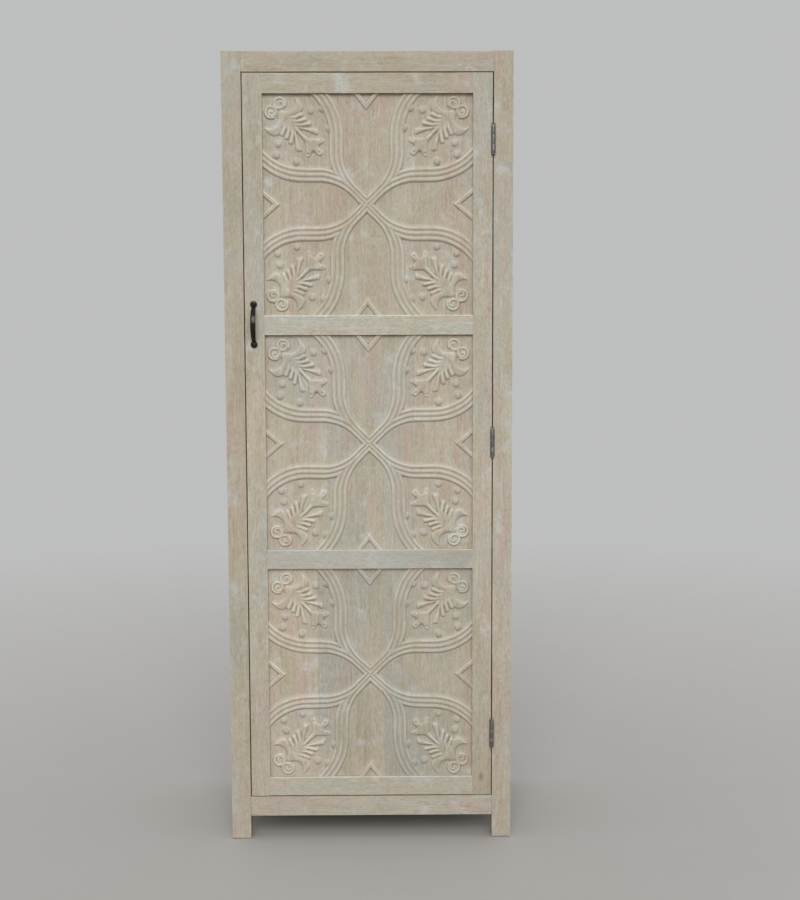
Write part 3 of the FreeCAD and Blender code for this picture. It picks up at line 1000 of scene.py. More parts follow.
SHADES = {
    "front_left_post": Shade(((0.0, 0.90), (0.6, 0.93), (1.0, 0.91), (1.7, 0.94)),
                             ((0.2, -0.6), (1.0, -0.9), (1.6, 0.3)), -0.1),
    "front_right_post": Shade(((0.1, 0.90), (0.6, 1.00), (1.3, 1.04), (1.7, 0.93)),
                              ((0.3, 0.0), (0.9, 0.4), (1.3, 0.8), (1.7, -0.2)), 0.0),
    "front_top_rail": Shade(((0.0, 0.94),), ((-0.3, -0.1), (0.3, -0.2)), 0.2),
    "front_bottom_rail": Shade(((-0.3, 0.93), (0.3, 0.95)),
                               ((-0.3, 0.9), (0.0, 0.2), (0.3, -0.1)), 0.2),
    "door_latch_stile": Shade(((0.1, 0.93), (0.6, 0.95), (1.0, 1.05), (1.7, 0.96)),
                              ((0.1, -0.6), (0.7, 0.1), (1.0, -0.3), (1.7, -0.3)), 0.0),
    "door_hinge_stile": Shade(((0.1, 0.83), (0.35, 0.92), (0.6, 1.02), (1.7, 1.02)),
                              ((0.1, 0.0), (1.1, -0.1), (1.45, 0.5), (1.75, 1.0)), -0.2,
                              (0.255, -0.1865, 0.146)),
    "door_top_rail": Shade(((-0.2, 1.00), (0.0, 0.96), (0.2, 0.95)), ((-0.2, 0.6), (0.2, 0.0)), 0.0),
    "door_upper_mid_rail": Shade(((0.0, 1.13),), ((-0.2, 0.6), (0.0, 1.3), (0.2, 0.6)), -0.4),
    "door_lower_mid_rail": Shade(((0.0, 0.92), (0.2, 0.91)), ((-0.2, 2.3), (0.0, 2.7), (0.2, 1.2)), -0.1),
    "door_bottom_rail": Shade(((-0.2, 1.00), (0.2, 0.97)), ((-0.2, 1.2), (0.2, 1.0)), 0.0),
}

LEFT, RIGHT, DOWN, UP = (Vector(way) for way in ((-1, 0, 0), (1, 0, 0), (0, 0, -1), (0, 0, 1)))
GAP_FACES = {
    "front_left_post": (RIGHT,), "front_right_post": (LEFT,),
    "front_top_rail": (DOWN,), "front_bottom_rail": (UP,),
    "door_latch_stile": (LEFT, DOWN, UP), "door_hinge_stile": (RIGHT, DOWN, UP),
    "door_bottom_rail": (DOWN,), "door_top_rail": (UP,),
}


@dataclass
class Timber:
    """One sawn, planed and hand-eased piece of wood.

    Attributes:
        node: CAD node that it stands for.
        span: Its lowest and highest corner.
        grain: Axis that its fibres run along.
        eases: Roundings of its edges.
        cuts: Blocks that are cut out of it.
        inside: Whether it has the inner finish.
        step: Distance between the cuts that let its sides waver.
        depth: Most that its surface goes in.
        wave: Length of its waves.
    """

    node: str
    span: Span
    grain: Axis
    eases: list[Ease]
    cuts: list[Span] = field(default_factory=list)
    inside: bool = False
    step: float = 0.055
    depth: float = 0.0006
    wave: float = 0.06

    def shape(self) -> Piece:
        """Saw, cut, ease and plane the piece.

        Returns:
            The bare piece.
        """
        piece = Bench.block(self.node + "_wood", self.span)
        Bench.cut(piece, [Bench.block("chisel", cut) for cut in self.cuts])
        Bench.round_off(piece, self.eases)
        Bench.slice_up(piece, self.grain, self.step)
        Bench.waver(piece, self.depth, self.wave)
        return piece

    def build(self) -> None:
        """Make the piece and dress it."""
        finish_timber([self.shape()], self.node, self.grain, self.inside)


def finish_timber(parts: list[Piece], node: str, grain: Axis, inside: bool) -> None:
    """Join the bare parts of a wooden node and dress them.

    Args:
        parts: Bare parts.
        node: CAD node that they stand for.
        grain: Axis that their fibres run along.
        inside: Whether they have the inner finish.
    """
    shade = SHADES.get(node)
    for part in parts:
        DRESSER.mark(part, GAP_FACES.get(node, ()))
        if shade:
            shade.note(part, grain)
    piece = Bench.join(parts, node + "_wood")
    Bench.smooth(piece)
    Bench.modify(piece, "WEIGHTED_NORMAL", mode="FACE_AREA", weight=50, keep_sharp=True)
    finishes, slot = (INNER_WOOD, Slot.INNER_WOOD) if inside else (OUTER_WOOD, Slot.OUTER_WOOD)
    DRESSER.dress(piece, finishes[grain], node)


def clipped(node: str, **limits: float) -> Span:
    """Box of a CAD node, narrowed to what shows of it.

    Args:
        node: CAD node.
        limits: New limits, named x0, x1, y0, y1, z0 or z1.

    Returns:
        Lowest and highest corner.
    """
    low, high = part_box(node)
    for key, value in limits.items():
        (low if key[1] == "0" else high)["xyz".index(key[0])] = value
    return low, high


def grown(span: Span, play: float, up: float = 0.0) -> Span:
    """A block widened to all sides by the play, and made higher."""
    low, high = span
    return low - Vector((play, play, 0.0)), high + Vector((play, play, up))


@dataclass
class Carcass:
    """Posts, rails, panels and boards of the cabinet's body.

    Attributes:
        post_ease: Rounding of the posts' edges.
        foot_ease: Rounding under the feet.
        rail_ease: Rounding of the rails' edges.
        groove: How far a panel's edge goes on behind the frame.
        ledge_play: Play round the boards in the rails.
    """

    post_ease: float = 0.0016
    foot_ease: float = 0.0042
    rail_ease: float = 0.0009
    groove: float = 0.002
    ledge_play: float = 0.0003

    def posts(self) -> None:
        """Make the four corner posts."""
        for node in POSTS:
            eases = [
                Ease(self.foot_ease, Axis.ACROSS, ((Axis.UP, -1),), 3),
                Ease(self.foot_ease, Axis.DEEP, ((Axis.UP, -1),), 3),
                Ease(self.post_ease, Axis.UP),
                Ease(self.rail_ease, Axis.ACROSS, ((Axis.UP, 1),)),
                Ease(self.rail_ease, Axis.DEEP, ((Axis.UP, 1),)),
            ]
            cuts = ButtHinge.recesses("post_leaf") if node == "front_right_post" else []
            Timber(node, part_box(node), Axis.UP, eases, cuts).build()

    def rails(self) -> None:
        """Make the top and bottom rails of all four sides."""
        low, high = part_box("front_right_post")
        across = {"x0": -low.x, "x1": low.x}
        deep = {"y0": high.y, "y1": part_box("back_right_post")[0].y}
        sides = (("front", Axis.ACROSS, across), ("back", Axis.ACROSS, across),
                 ("left", Axis.DEEP, deep), ("right", Axis.DEEP, deep))
        for level in ("top", "bottom"):
            ledge = grown(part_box(level + "_board"), self.ledge_play, OVERCUT)
            for side, grain, limits in sides:
                node = "%s_%s_rail" % (side, level)
                Timber(node, clipped(node, **limits), grain, [Ease(self.rail_ease, grain)], [ledge]).build()

    def panels(self) -> None:
        """Make the side and back panels."""
        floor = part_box("front_bottom_rail")[1].z - self.groove
        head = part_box("front_top_rail")[0].z + self.groove
        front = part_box("front_right_post")[1].y - self.groove
        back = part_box("back_right_post")[0].y + self.groove
        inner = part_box("front_right_post")[0].x + self.groove
        for side in ("left", "right"):
            node = side + "_side_panel"
            Timber(node, clipped(node, y0=front, y1=back, z0=floor, z1=head), Axis.UP, []).build()
        span = clipped("back_panel", x0=-inner, x1=inner, z0=floor, z1=head)
        Timber("back_panel", span, Axis.UP, []).build()

    def boards(self) -> None:
        """Make the top and bottom boards, notched round the posts."""
        posts = [grown(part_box(post), NOTCH_PLAY) for post in POSTS]
        for node in ("top_board", "bottom_board"):
            eases = [Ease(self.rail_ease, Axis.ACROSS), Ease(self.rail_ease, Axis.DEEP)]
            Timber(node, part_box(node), Axis.ACROSS, eases, posts, node == "bottom_board").build()

    def build(self) -> None:
        """Make the whole carcass."""
        self.posts()
        self.rails()
        self.panels()
        self.boards()


@dataclass
class Shelving:
    """Shelves and the cleats that they lie on.

    Attributes:
        count: Number of shelves.
        cleat_drop: Height of a cleat.
        ease: Rounding of the front edges.
    """

    count: int = 4
    cleat_drop: float = 0.024
    ease: float = 0.0012

    def build(self) -> None:
        """Make the shelves and cleats."""
        posts = [grown(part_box(post), NOTCH_PLAY) for post in POSTS if post.startswith("back")]
        for i in range(self.count):
            node = "shelf_%d" % (i + 1)
            Timber(node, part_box(node), Axis.ACROSS, [Ease(self.ease, Axis.ACROSS)], posts, True).build()
        for side in ("left", "right"):
            node = side + "_shelf_cleats"
            parts = []
            for i in range(self.count):
                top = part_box("shelf_%d" % (i + 1))[0].z
                span = clipped(node, z0=top - self.cleat_drop, z1=top)
                eases = [Ease(self.ease, Axis.DEEP), Ease(self.ease, Axis.UP)]
                parts.append(Timber(node, span, Axis.DEEP, eases).shape())
            finish_timber(parts, node, Axis.DEEP, True)


@dataclass
class DoorFrame:
    """Stiles and rails of the door, and the batten that it closes against.

    Attributes:
        outer_ease: Rounding of the door's outer edges.
        head_ease: Rounding of the door's top edge.
        inner_ease: Rounding of the edges round the panels.
        sill_ease: Rounding of the front edge under each panel.
        worn_corner: Rounding of the latch stile's lower corner.
        tuck: How far a rail's shoulder goes into its stile.
    """

    outer_ease: float = 0.0022
    head_ease: float = 0.0012
    inner_ease: float = 0.0015
    sill_ease: float = 0.0024
    worn_corner: float = 0.0045
    tuck: float = 0.0005

    def build(self) -> None:
        """Make the frame and the batten."""
        for node, side in (("door_latch_stile", -1), ("door_hinge_stile", 1)):
            worn = [Ease(self.worn_corner, Axis.DEEP, ((Axis.ACROSS, -1), (Axis.UP, -1)), 4)]
            eases = [
                Ease(self.outer_ease, Axis.UP, ((Axis.ACROSS, side),), 3),
                Ease(self.inner_ease, Axis.UP),
                Ease(self.head_ease, Axis.ACROSS, ((Axis.UP, 1),)),
                Ease(self.outer_ease, Axis.ACROSS, ((Axis.UP, -1),)),
            ]
            if side > 0:
                Timber(node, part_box(node), Axis.UP, eases, ButtHinge.recesses("door_leaf")).build()
            else:
                Timber(node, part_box(node), Axis.UP, worn + eases).build()
        left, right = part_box("door_latch_stile")[1].x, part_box("door_hinge_stile")[0].x
        for level in ("bottom", "lower_mid", "upper_mid", "top"):
            node = "door_%s_rail" % level
            upper = self.head_ease if level == "top" else self.sill_ease
            eases = [Ease(upper, Axis.ACROSS, ((Axis.UP, 1), (Axis.DEEP, -1)), 3)]
            if level == "bottom":
                eases.append(Ease(self.outer_ease, Axis.ACROSS, ((Axis.UP, -1), (Axis.DEEP, -1)), 3))
            eases.append(Ease(self.inner_ease, Axis.ACROSS))
            span = clipped(node, x0=left - self.tuck, x1=right + self.tuck)
            Timber(node, span, Axis.ACROSS, eases).build()
        eases = [Ease(self.inner_ease, Axis.UP)]
        Timber("door_stop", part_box("door_stop"), Axis.UP, eases, inside=True).build()


# Carving, in millimetres from a panel's middle or corner

def rounded(depth: Array, reach: float, rise: float) -> Array:
    """Height of a form that rises in a quarter circle from its outline, to be full at its reach."""
    part = np.clip(depth / reach, 0.0, 1.0)
    return rise * np.sqrt(1.0 - (1.0 - part) ** 2)


def curved(outline: Outline, steps: int = 4) -> Array:
    """Closed outline with its corners rounded through its points.

    Args:
        outline: Points of the outline.
        steps: New points to each side.

    Returns:
        Points of the curved outline.
    """
    points = np.asarray(outline, float)
    before, after, beyond = (np.roll(points, way, 0) for way in (1, -1, -2))
    made = []
    for t in np.arange(steps) / steps:
        made.append(0.5 * (2 * points + (after - before) * t
                           + (2 * before - 5 * points + 4 * after - beyond) * t ** 2
                           + (3 * points - before - 3 * after + beyond) * t ** 3))
    return np.stack(made, 1).reshape(-1, 2)


def depth_inside(a: Array, b: Array, outline: Array) -> Array:
    """How far points lie inside a closed outline.

    Args:
        a: First coordinates of the points.
        b: Second coordinates of the points.
        outline: Corners of the outline.

    Returns:
        Distances to the outline, below zero outside it.
    """
    nearest = np.full(a.shape, np.inf)
    inside = np.zeros(a.shape, bool)
    for (a0, b0), (a1, b1) in zip(outline, np.roll(outline, -1, 0)):
        run_a, run_b = a1 - a0, b1 - b0
        part = np.clip(((a - a0) * run_a + (b - b0) * run_b) / (run_a ** 2 + run_b ** 2), 0.0, 1.0)
        nearest = np.minimum(nearest, np.hypot(a - a0 - part * run_a, b - b0 - part * run_b))
        if b0 != b1:
            inside ^= ((b0 > b) != (b1 > b)) & (a < a0 + (b - b0) * run_a / run_b)
    return np.where(inside, nearest, -nearest)


@dataclass(frozen=True)
class Petal:
    """One petal of the four, seen along its axis from the panel's middle.

    Attributes:
        tip: Middle to the petal's tip, where its sides meet at a right angle.
        half: Half its width where its sides run straight.
        swell: Middle to where they run straight.
        flare_run: Length of the flare at the panel's edge.
        flare_spread: How far the flare spreads.
        border: Middle to the panel's edge.
        slopes: Slopes of the petal's side, from straight to its tip.
        squeezes: Factors on the distance at these slopes, which widen or narrow the ridges.
    """

    tip: float
    half: float
    swell: float
    flare_run: float
    flare_spread: float
    border: float
    slopes: tuple[float, ...] = (0.0, 0.4, 0.7, 1.0)
    squeezes: tuple[float, ...] = (1.0, 1.045, 0.95, 0.84)

    def beyond(self, along: Array, across: Array) -> Array:
        """How far points lie outside the petal, as the ridges beside it count it.

        Args:
            along: Distances from the panel's middle along the petal's axis.
            across: Distances from that axis.

        Returns:
            Distances, below zero inside the petal.
        """
        bow = (self.swell - self.tip - self.half) / (math.sqrt(2.0) - 1.0)
        lead = self.half - bow * (1.0 - math.sqrt(0.5))
        short = np.clip(self.swell - along, 0.0, bow * 0.999)
        arc = self.half - bow + np.sqrt(bow ** 2 - short ** 2)
        straight_tip = along < self.tip + lead
        side = np.where(straight_tip, along - self.tip, arc)
        slope = np.where(straight_tip, 1.0, short / np.sqrt(bow ** 2 - short ** 2))
        squeeze = np.interp(slope, self.slopes, self.squeezes)
        flare = (self.flare_run ** 2 + self.flare_spread ** 2) / (2.0 * self.flare_spread)
        over = np.clip(along - self.border + self.flare_run, 0.0, flare * 0.9)
        level = np.sqrt(flare ** 2 - over ** 2)
        return (across - side - flare + level) * squeeze * level / flare


@dataclass(frozen=True)
class Ridges:
    """The three-ridged band that runs beside the petals.

    Attributes:
        pitch: Crest to crest.
        crests: Heights of the ridges.
        dip: Depth of the grooves between them.
        flank: Reach of the band's outer flanks.
    """

    pitch: float = 11.1
    crests: tuple[float, float, float] = (4.7, 5.1, 4.7)
    dip: float = 3.0
    flank: float = 3.1

    def height(self, beyond: Array) -> Array:
        """Height of the band.

        Args:
            beyond: Distances from the petal's edge.

        Returns:
            Heights over the field.
        """
        width = self.pitch * len(self.crests)
        part = np.clip(beyond / self.pitch, 0.0, len(self.crests) - 1e-6)
        crest = np.asarray(self.crests)[part.astype(int)]
        swing = 2.0 * (part % 1.0) - 1.0
        flanks = rounded(np.minimum(beyond, width - beyond), self.flank, 1.0)
        return (crest - self.dip * swing ** 2) * flanks


@dataclass(frozen=True)
class Palmette:
    """Corner palmette, from a panel's corner and alike on both sides of its diagonal.

    Attributes:
        rise: Its full height.
        scroll: Middle of the scroll at its foot.
        scroll_r: Radius of the scroll.
        scroll_half: Half the width of the scroll's ridge.
        scroll_turns: Turns of the ridge.
        scroll_turn: Share of a turn where the ridge begins.
        scroll_floor: Height of the scroll's drum, as a share of the full height.
        scroll_edge: Reach of the drum's rounded edge.
        horn: Outline of the big outer leaf.
        fronds: Spines of the ribs.
        frond_halves: Half a rib's width at its foot and tip.
        frond_lift: Share of the full height at a rib's foot, and what it would gain up to its tip.
        leaf: Outline of the leaf beside the stem.
        stem: Start and end on the diagonal, and half the width there.
        stem_reach: Depth at which the stem is full.
        flower: Outline of half the flower.
        curls: Middles of the hollows in the flower.
        curl_r: Radius of these hollows.
        curl_depth: Their depth.
        dots: Middles of the dots.
        dot_r: Radius of the dots.
        dot_rise: Height of the dots.
        mound: Outline of the swelling under the leaves.
        mound_rise: Its height.
    """

    rise: float = 4.9
    scroll: tuple[float, float] = (22.4, 41.0)
    scroll_r: float = 16.2
    scroll_half: float = 3.3
    scroll_turns: float = 1.5
    scroll_turn: float = 0.84
    scroll_floor: float = 0.40
    scroll_edge: float = 3.0
    horn: Outline = ((7.5, 75.8), (11.5, 83.0), (19.5, 90.5), (29.5, 94.0), (38.5, 91.0), (44.5, 83.5),
                     (48.0, 74.0), (53.0, 63.0), (63.0, 53.0), (47.0, 37.0), (37.5, 40.5), (36.5, 45.0),
                     (38.0, 54.0), (36.8, 62.5), (32.5, 69.5), (25.5, 74.3), (17.0, 76.2))
    fronds: tuple[Outline, ...] = (
        ((54.0, 60.0), (52.0, 76.0), (46.5, 88.5)),
        ((61.0, 66.0), (61.5, 82.0), (57.0, 96.0)),
        ((68.0, 72.5), (70.0, 88.0), (66.3, 107.0)),
    )
    frond_halves: tuple[float, float] = (3.4, 5.2)
    frond_lift: tuple[float, float] = (0.66, 0.75)
    leaf: Outline = ((73.5, 78.0), (74.5, 92.0), (75.5, 108.0), (77.5, 124.5), (84.0, 128.0), (91.5, 126.0),
                     (88.0, 114.0), (83.0, 102.0), (79.0, 90.0))
    stem: tuple[float, float, float, float] = (106.0, 150.0, 2.7, 6.2)
    stem_reach: float = 4.5
    flower: Outline = ((99.0, 92.0), (98.0, 104.0), (98.5, 116.0), (98.6, 130.0), (100.2, 138.5),
                       (104.8, 141.2), (109.0, 137.6), (112.0, 132.0), (116.5, 128.0), (121.5, 132.0),
                       (127.5, 137.2), (133.5, 137.2), (137.5, 129.0), (122.0, 98.0))
    curls: Outline = ((104.0, 134.0), (130.0, 130.0))
    curl_r: float = 4.2
    curl_depth: float = 2.6
    dots: Outline = ((77.5, 151.0), (33.3, 135.8), (38.2, 110.3))
    dot_r: float = 8.6
    dot_rise: float = 4.3
    mound: Outline = ((31.0, 31.0), (37.0, 42.0), (40.0, 56.0), (45.0, 72.0), (54.0, 80.0), (66.0, 83.0),
                      (78.0, 85.0), (90.0, 90.0), (80.0, 62.0))
    mound_rise: float = 3.3

    def height(self, a: Array, b: Array) -> Array:
        """Height of the palmette.

        Args:
            a: Distances from the corner along the panel's foot or head.
            b: Distances from the corner up or down its side.

        Returns:
            Heights over the field.
        """
        lo, hi = np.minimum(a, b), np.maximum(a, b)
        # Each form's outline, the depth at which it is full, and its full height
        forms = ((self.horn, 7.5, self.rise), (self.mound, 17.0, self.mound_rise),
                 (self.leaf, 6.5, self.rise), (self.flower, 7.0, self.rise))
        rises = [rounded(depth_inside(lo, hi, curved(line)), reach, full) for line, reach, full in forms]
        rise = np.max(rises + [self.frond(lo, hi, line) for line in self.fronds], 0)
        along, aside = (hi + lo) / math.sqrt(2.0), (hi - lo) / math.sqrt(2.0)
        start, end, narrow, wide = self.stem
        part = np.clip((along - start) / (end - start), 0.0, 1.0)
        half = narrow + (wide - narrow) * part
        ends = np.minimum(along - start, end - along)
        rise = np.maximum(rise, rounded(np.minimum(half - aside, ends), self.stem_reach, self.rise))
        for curl_a, curl_b in self.curls:
            away = np.hypot(lo - curl_a, hi - curl_b) / self.curl_r
            rise = rise - self.curl_depth * np.clip(1.0 - away ** 2, 0.0, 1.0)
        rise = np.maximum(rise, self.scroll_height(lo, hi))
        return np.maximum(rise, self.dot_rise * np.sqrt(self.on_dots(a, b)))

    def on_dots(self, a: Array, b: Array) -> Array:
        """How well points lie on the dots.

        Args:
            a: Distances from the corner along the panel's foot or head.
            b: Distances from the corner up or down its side.

        Returns:
            Shares, from 1 in the dots' middles to 0 at their rims.
        """
        lo, hi = np.minimum(a, b), np.maximum(a, b)
        nearest = np.min([np.hypot(lo - dot_a, hi - dot_b) for dot_a, dot_b in self.dots], 0)
        return np.clip(1.0 - (nearest / self.dot_r) ** 2, 0.0, 1.0)

    def frond(self, a: Array, b: Array, line: Outline) -> Array:
        """Height of one curved rib, wider and higher towards its tip.

        Args:
            a: First coordinates.
            b: Second coordinates.
            line: Points of its spine, from its foot.

        Returns:
            Heights over the field.
        """
        points = np.asarray(line)
        narrow, wide = self.frond_halves
        foot, gain = self.frond_lift
        runs = np.hypot(*np.diff(points, axis=0).T)
        done, total = 0.0, runs.sum()
        rise = np.zeros(a.shape)
        for (a0, b0), (a1, b1), run in zip(points, points[1:], runs):
            part = np.clip(((a - a0) * (a1 - a0) + (b - b0) * (b1 - b0)) / run ** 2, 0.0, 1.0)
            away = np.hypot(a - a0 - part * (a1 - a0), b - b0 - part * (b1 - b0))
            share = (done + part * run) / total
            half = narrow + (wide - narrow) * share
            lift = self.rise * np.clip(foot + gain * share, 0.0, 1.0)
            rise = np.maximum(rise, lift * np.sqrt(np.clip(1.0 - (away / half) ** 2, 0.0, 1.0)))
            done += run
        return rise

    def scroll_height(self, a: Array, b: Array) -> Array:
        """Height of the scroll: a spiral ridge on a low drum.

        Args:
            a: First coordinates.
            b: Second coordinates.

        Returns:
            Heights over the field.
        """
        from_a, from_b = a - self.scroll[0], b - self.scroll[1]
        away = np.hypot(from_a, from_b)
        start = (np.arctan2(from_b, from_a) / (2.0 * math.pi) + self.scroll_turn) % 1.0
        rise = rounded(self.scroll_r - away, self.scroll_edge, self.scroll_floor * self.rise)
        for lap in range(math.ceil(self.scroll_turns)):
            turn = np.clip((start + lap) / self.scroll_turns, 0.0, 1.0)
            radius = (self.scroll_r - self.scroll_half) * (1.0 - turn ** 3)
            ridge = np.clip(1.0 - ((away - radius) / self.scroll_half) ** 2, 0.0, 1.0)
            rise = np.maximum(rise, self.rise * np.sqrt(ridge))
        return np.where(away < self.scroll_r, rise, 0.0)


@dataclass(frozen=True)
class Chevron:
    """Raised V at the middle of a panel's edge.

    Attributes:
        half: Half its width on that edge.
        depth: How far its point lies from that edge.
        band: Width of its arms.
        rise: Their height.
        flank: Reach of their flanks.
    """

    half: float
    depth: float
    band: float = 11.0
    rise: float = 4.2
    flank: float = 2.4

    def height(self, inward: Array, aside: Array) -> Array:
        """Height of the V.

        Args:
            inward: Distances from the panel's edge.
            aside: Distances from the middle of that edge.

        Returns:
            Heights over the field.
        """
        slope = math.hypot(self.half, self.depth)
        inside = (self.depth * (self.half - aside) - self.half * inward) / slope
        return rounded(np.minimum(inside, self.band - inside), self.flank, self.rise)


class HandNoise:
    """Smooth seeded unevenness of hand work."""

    def __init__(self, seed: int) -> None:
        """Start the seeded draws."""
        self.draws = np.random.default_rng(seed)

    def over(self, u: Array, v: Array, size: float) -> Array:
        """Unevenness with waves of one size.

        Args:
            u: First coordinates.
            v: Second coordinates.
            size: Length of the waves.

        Returns:
            Values from -1 to 1.
        """
        columns, rows = (int(np.ptp(c) / size) + 4 for c in (u, v))
        lattice = self.draws.uniform(-1.0, 1.0, (columns, rows))
        x, y = (u - u.min()) / size + 0.5, (v - v.min()) / size + 0.5
        i, j = x.astype(int), y.astype(int)
        s, t = ((c - k) ** 2 * (3.0 - 2.0 * (c - k)) for c, k in ((x, i), (y, j)))
        low = lattice[i, j] * (1 - s) + lattice[i + 1, j] * s
        high = lattice[i, j + 1] * (1 - s) + lattice[i + 1, j + 1] * s
        return low * (1 - t) + high * t


def blurred(values: Array, passes: int) -> Array:
    """Soften a grid of values over its neighbours.

    Args:
        values: Grid of values.
        passes: Times that it is softened.

    Returns:
        The softened grid.
    """
    for _ in range(passes):
        for axis in (0, 1):
            padded = np.pad(values, [(1, 1) if k == axis else (0, 0) for k in (0, 1)], mode="edge")
            count = values.shape[axis]
            first, middle, last = (np.take(padded, np.arange(k, k + count), axis) for k in (0, 1, 2))
            values = (first + 2.0 * middle + last) / 4.0
    return values


@dataclass
class CarvedPanel:
    """Carved panel of the door, glued up from upright boards.

    Attributes:
        place: Which of the three it is.
        below: Rail under it.
        above: Rail over it.
        seams: Where its boards meet, in millimetres from its middle.
        boards: Tone, coolness and blush of each board, and how much paler its head is than its foot.
        offset_mm: How far the carving lies off the panel's middle, right and up.
        seed: Seed of its hand work.
        thickness: Back to the carved field.
        tuck: How far its edges go on behind the frame.
        cell_mm: Distance between the carved points.
        most_triangles: Limit of the carved face.
        petal_v: Sizes of the upright petals, apart from their border.
        petal_h: Sizes of the level petals, apart from their border.
        ridges: Band beside the petals.
        palmette: Carving in each corner.
        chevron_v: V at the middle of its head and foot.
        chevron_h: V at the middle of each side.
        sway: Depths and lengths of the waves that the outlines have.
        uneven: Share by which the heights differ, and length of these waves.
        marks: Depths and lengths of the tool's marks on the face.
        soften: Times that the carving is softened.
        around: Times that its neighbours are softened to compare a crest with them.
        crest_mm: Rise over its neighbours that makes a crest fully pale, as wear and as painted highlight.
        dot_bare_and_shade: How dark the dots are made, partly as bare wood and partly as painted shade.
        dot_shade_drop_mm: How far below a dot's middle its dark spot lies, as painted shade on its lower side.
        sharp: Angle of the edges that stay sharp, in degrees.
    """

    place: str
    below: str
    above: str
    seams: tuple[float, ...]
    boards: tuple[tuple[float, float, float, float], ...]
    offset_mm: tuple[float, float]
    seed: int
    thickness: float = 0.013
    tuck: float = 0.003
    cell_mm: float = 1.0
    most_triangles: int = 150000
    petal_v: tuple[float, ...] = (19.5, 51.0, 114.0, 95.0, 33.0)
    petal_h: tuple[float, ...] = (16.5, 48.5, 105.0, 90.0, 34.0)
    ridges: Ridges = Ridges()
    palmette: Palmette = Palmette()
    chevron_v: Chevron = Chevron(30.0, 38.0)
    chevron_h: Chevron = Chevron(35.0, 41.0)
    sway: Outline = ((0.5, 45.0), (1.1, 120.0))
    uneven: tuple[float, float] = (0.06, 30.0)
    marks: Outline = ((0.16, 13.0), (0.10, 5.0))
    soften: int = 2
    around: int = 6
    crest_mm: float = 0.8
    dot_bare_and_shade: float = 0.75
    dot_shade_drop_mm: float = 1.0
    sharp: float = 60.0

    def opening(self) -> Span:
        """What shows of the panel, between the stiles and rails."""
        return clipped(self.node(), x0=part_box("door_latch_stile")[1].x, x1=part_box("door_hinge_stile")[0].x,
                       z0=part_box(self.below)[1].z, z1=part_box(self.above)[0].z)

    def node(self) -> str:
        """CAD node that the panel stands for."""
        return "door_%s_panel" % self.place

    def relief(self, u: Array, v: Array, half_u: float, half_v: float) -> tuple[Array, Array]:
        """Carved height over the field, and where it is made pale or dark by wear, dirt and painted light.

        Args:
            u: Places across, from the panel's middle.
            v: Places up, from the panel's middle.
            half_u: Half the panel's width.
            half_v: Half its height.

        Returns:
            Heights in millimetres, and a mark from 1 on pale crests, partly painted highlight, to -1 in dark
            hollows and dots, partly painted shade.
        """
        hand = HandNoise(self.seed)
        u, v = (c + sum(depth * hand.over(u, v, size) for depth, size in self.sway) for c in (u, v))
        across, up = np.abs(u - self.offset_mm[0]), np.abs(v - self.offset_mm[1])
        in_u, in_v = half_u - across, half_v - up
        upright = Petal(*self.petal_v, half_v).beyond(up, across)
        level = Petal(*self.petal_h, half_u).beyond(across, up)
        rise = np.max([self.ridges.height(np.minimum(upright, level)), self.palmette.height(in_u, in_v),
                       self.chevron_v.height(in_v, across), self.chevron_h.height(in_u, up)], 0)
        share, size = self.uneven
        rise = blurred(rise * (1.0 + share * hand.over(u, v, size)), self.soften)
        rise += sum(depth * hand.over(u, v, size) for depth, size in self.marks)
        carve = (rise - blurred(rise, self.around)) / self.crest_mm
        # Painted shade: each dot is darkened, partly as bare wood, and its dark spot is moved down to the
        # lower side where shade falls
        bare = self.palmette.on_dots(in_u, in_v - self.dot_shade_drop_mm * np.sign(v))
        return rise, np.clip(carve - self.dot_bare_and_shade * np.sqrt(bare), -1.0, 1.0)

    def build(self) -> None:
        """Carve the panel and dress it."""
        low, high = self.opening()
        back = high.y
        middle = (low + high) / 2
        size_u, size_v = high.x - low.x + 2 * self.tuck, high.z - low.z + 2 * self.tuck
        cell = self.cell_mm * 1.0 * MM
        columns, rows = round(size_u / cell), round(size_v / cell)
        piece = Bench.add(self.node() + "_wood", bpy.ops.mesh.primitive_grid_add, (size_u, size_v, 1.0),
                          x_subdivisions=columns, y_subdivisions=rows, size=1.0,
                          location=(middle.x, back - self.thickness, middle.z),
                          rotation=(math.pi / 2, 0.0, 0.0))
        points = Bench.points(piece)
        grid = points[:, [0, 2]].reshape(rows + 1, columns + 1, 2)
        u, v = (grid[..., 0] - middle.x) / MM, (grid[..., 1] - middle.z) / MM
        rise, carve = self.relief(u, v, (high.x - low.x) / 2 / MM, (high.z - low.z) / 2 / MM)
        points[:, 1] -= rise.ravel() * MM
        Bench.move_points(piece, points)
        triangles = 2 * rows * columns
        if triangles > self.most_triangles:
            ratio = self.most_triangles / triangles
            Bench.modify(piece, "DECIMATE", decimate_type="COLLAPSE", ratio=ratio)
        self.close_back(piece, back, middle.x)
        self.shade_boards(piece, carve, u, v, middle)
        Bench.smooth(piece, self.sharp)
        DRESSER.dress(piece, OUTER_WOOD[Axis.UP], self.node())

    def close_back(self, piece: Piece, back: float, middle: float) -> None:
        """Give the carved face its edges and a flat back, and part it into boards.

        Args:
            piece: Carved face.
            back: Where the panel's back lies.
            middle: Where its middle lies, across.
        """
        with Bench.editing(piece) as mesh:
            for edge in mesh.edges:
                edge.select_set(edge.is_boundary)
            bpy.ops.mesh.extrude_edges_move(TRANSFORM_OT_translate={"value": (0.0, self.thickness, 0.0)})
            mesh = bmesh.from_edit_mesh(piece.data)
            for vertex in mesh.verts:
                if vertex.select:
                    vertex.co.y = back
            bpy.ops.mesh.edge_face_add()
            Bench.part([middle + seam * MM for seam in self.seams], Axis.ACROSS)

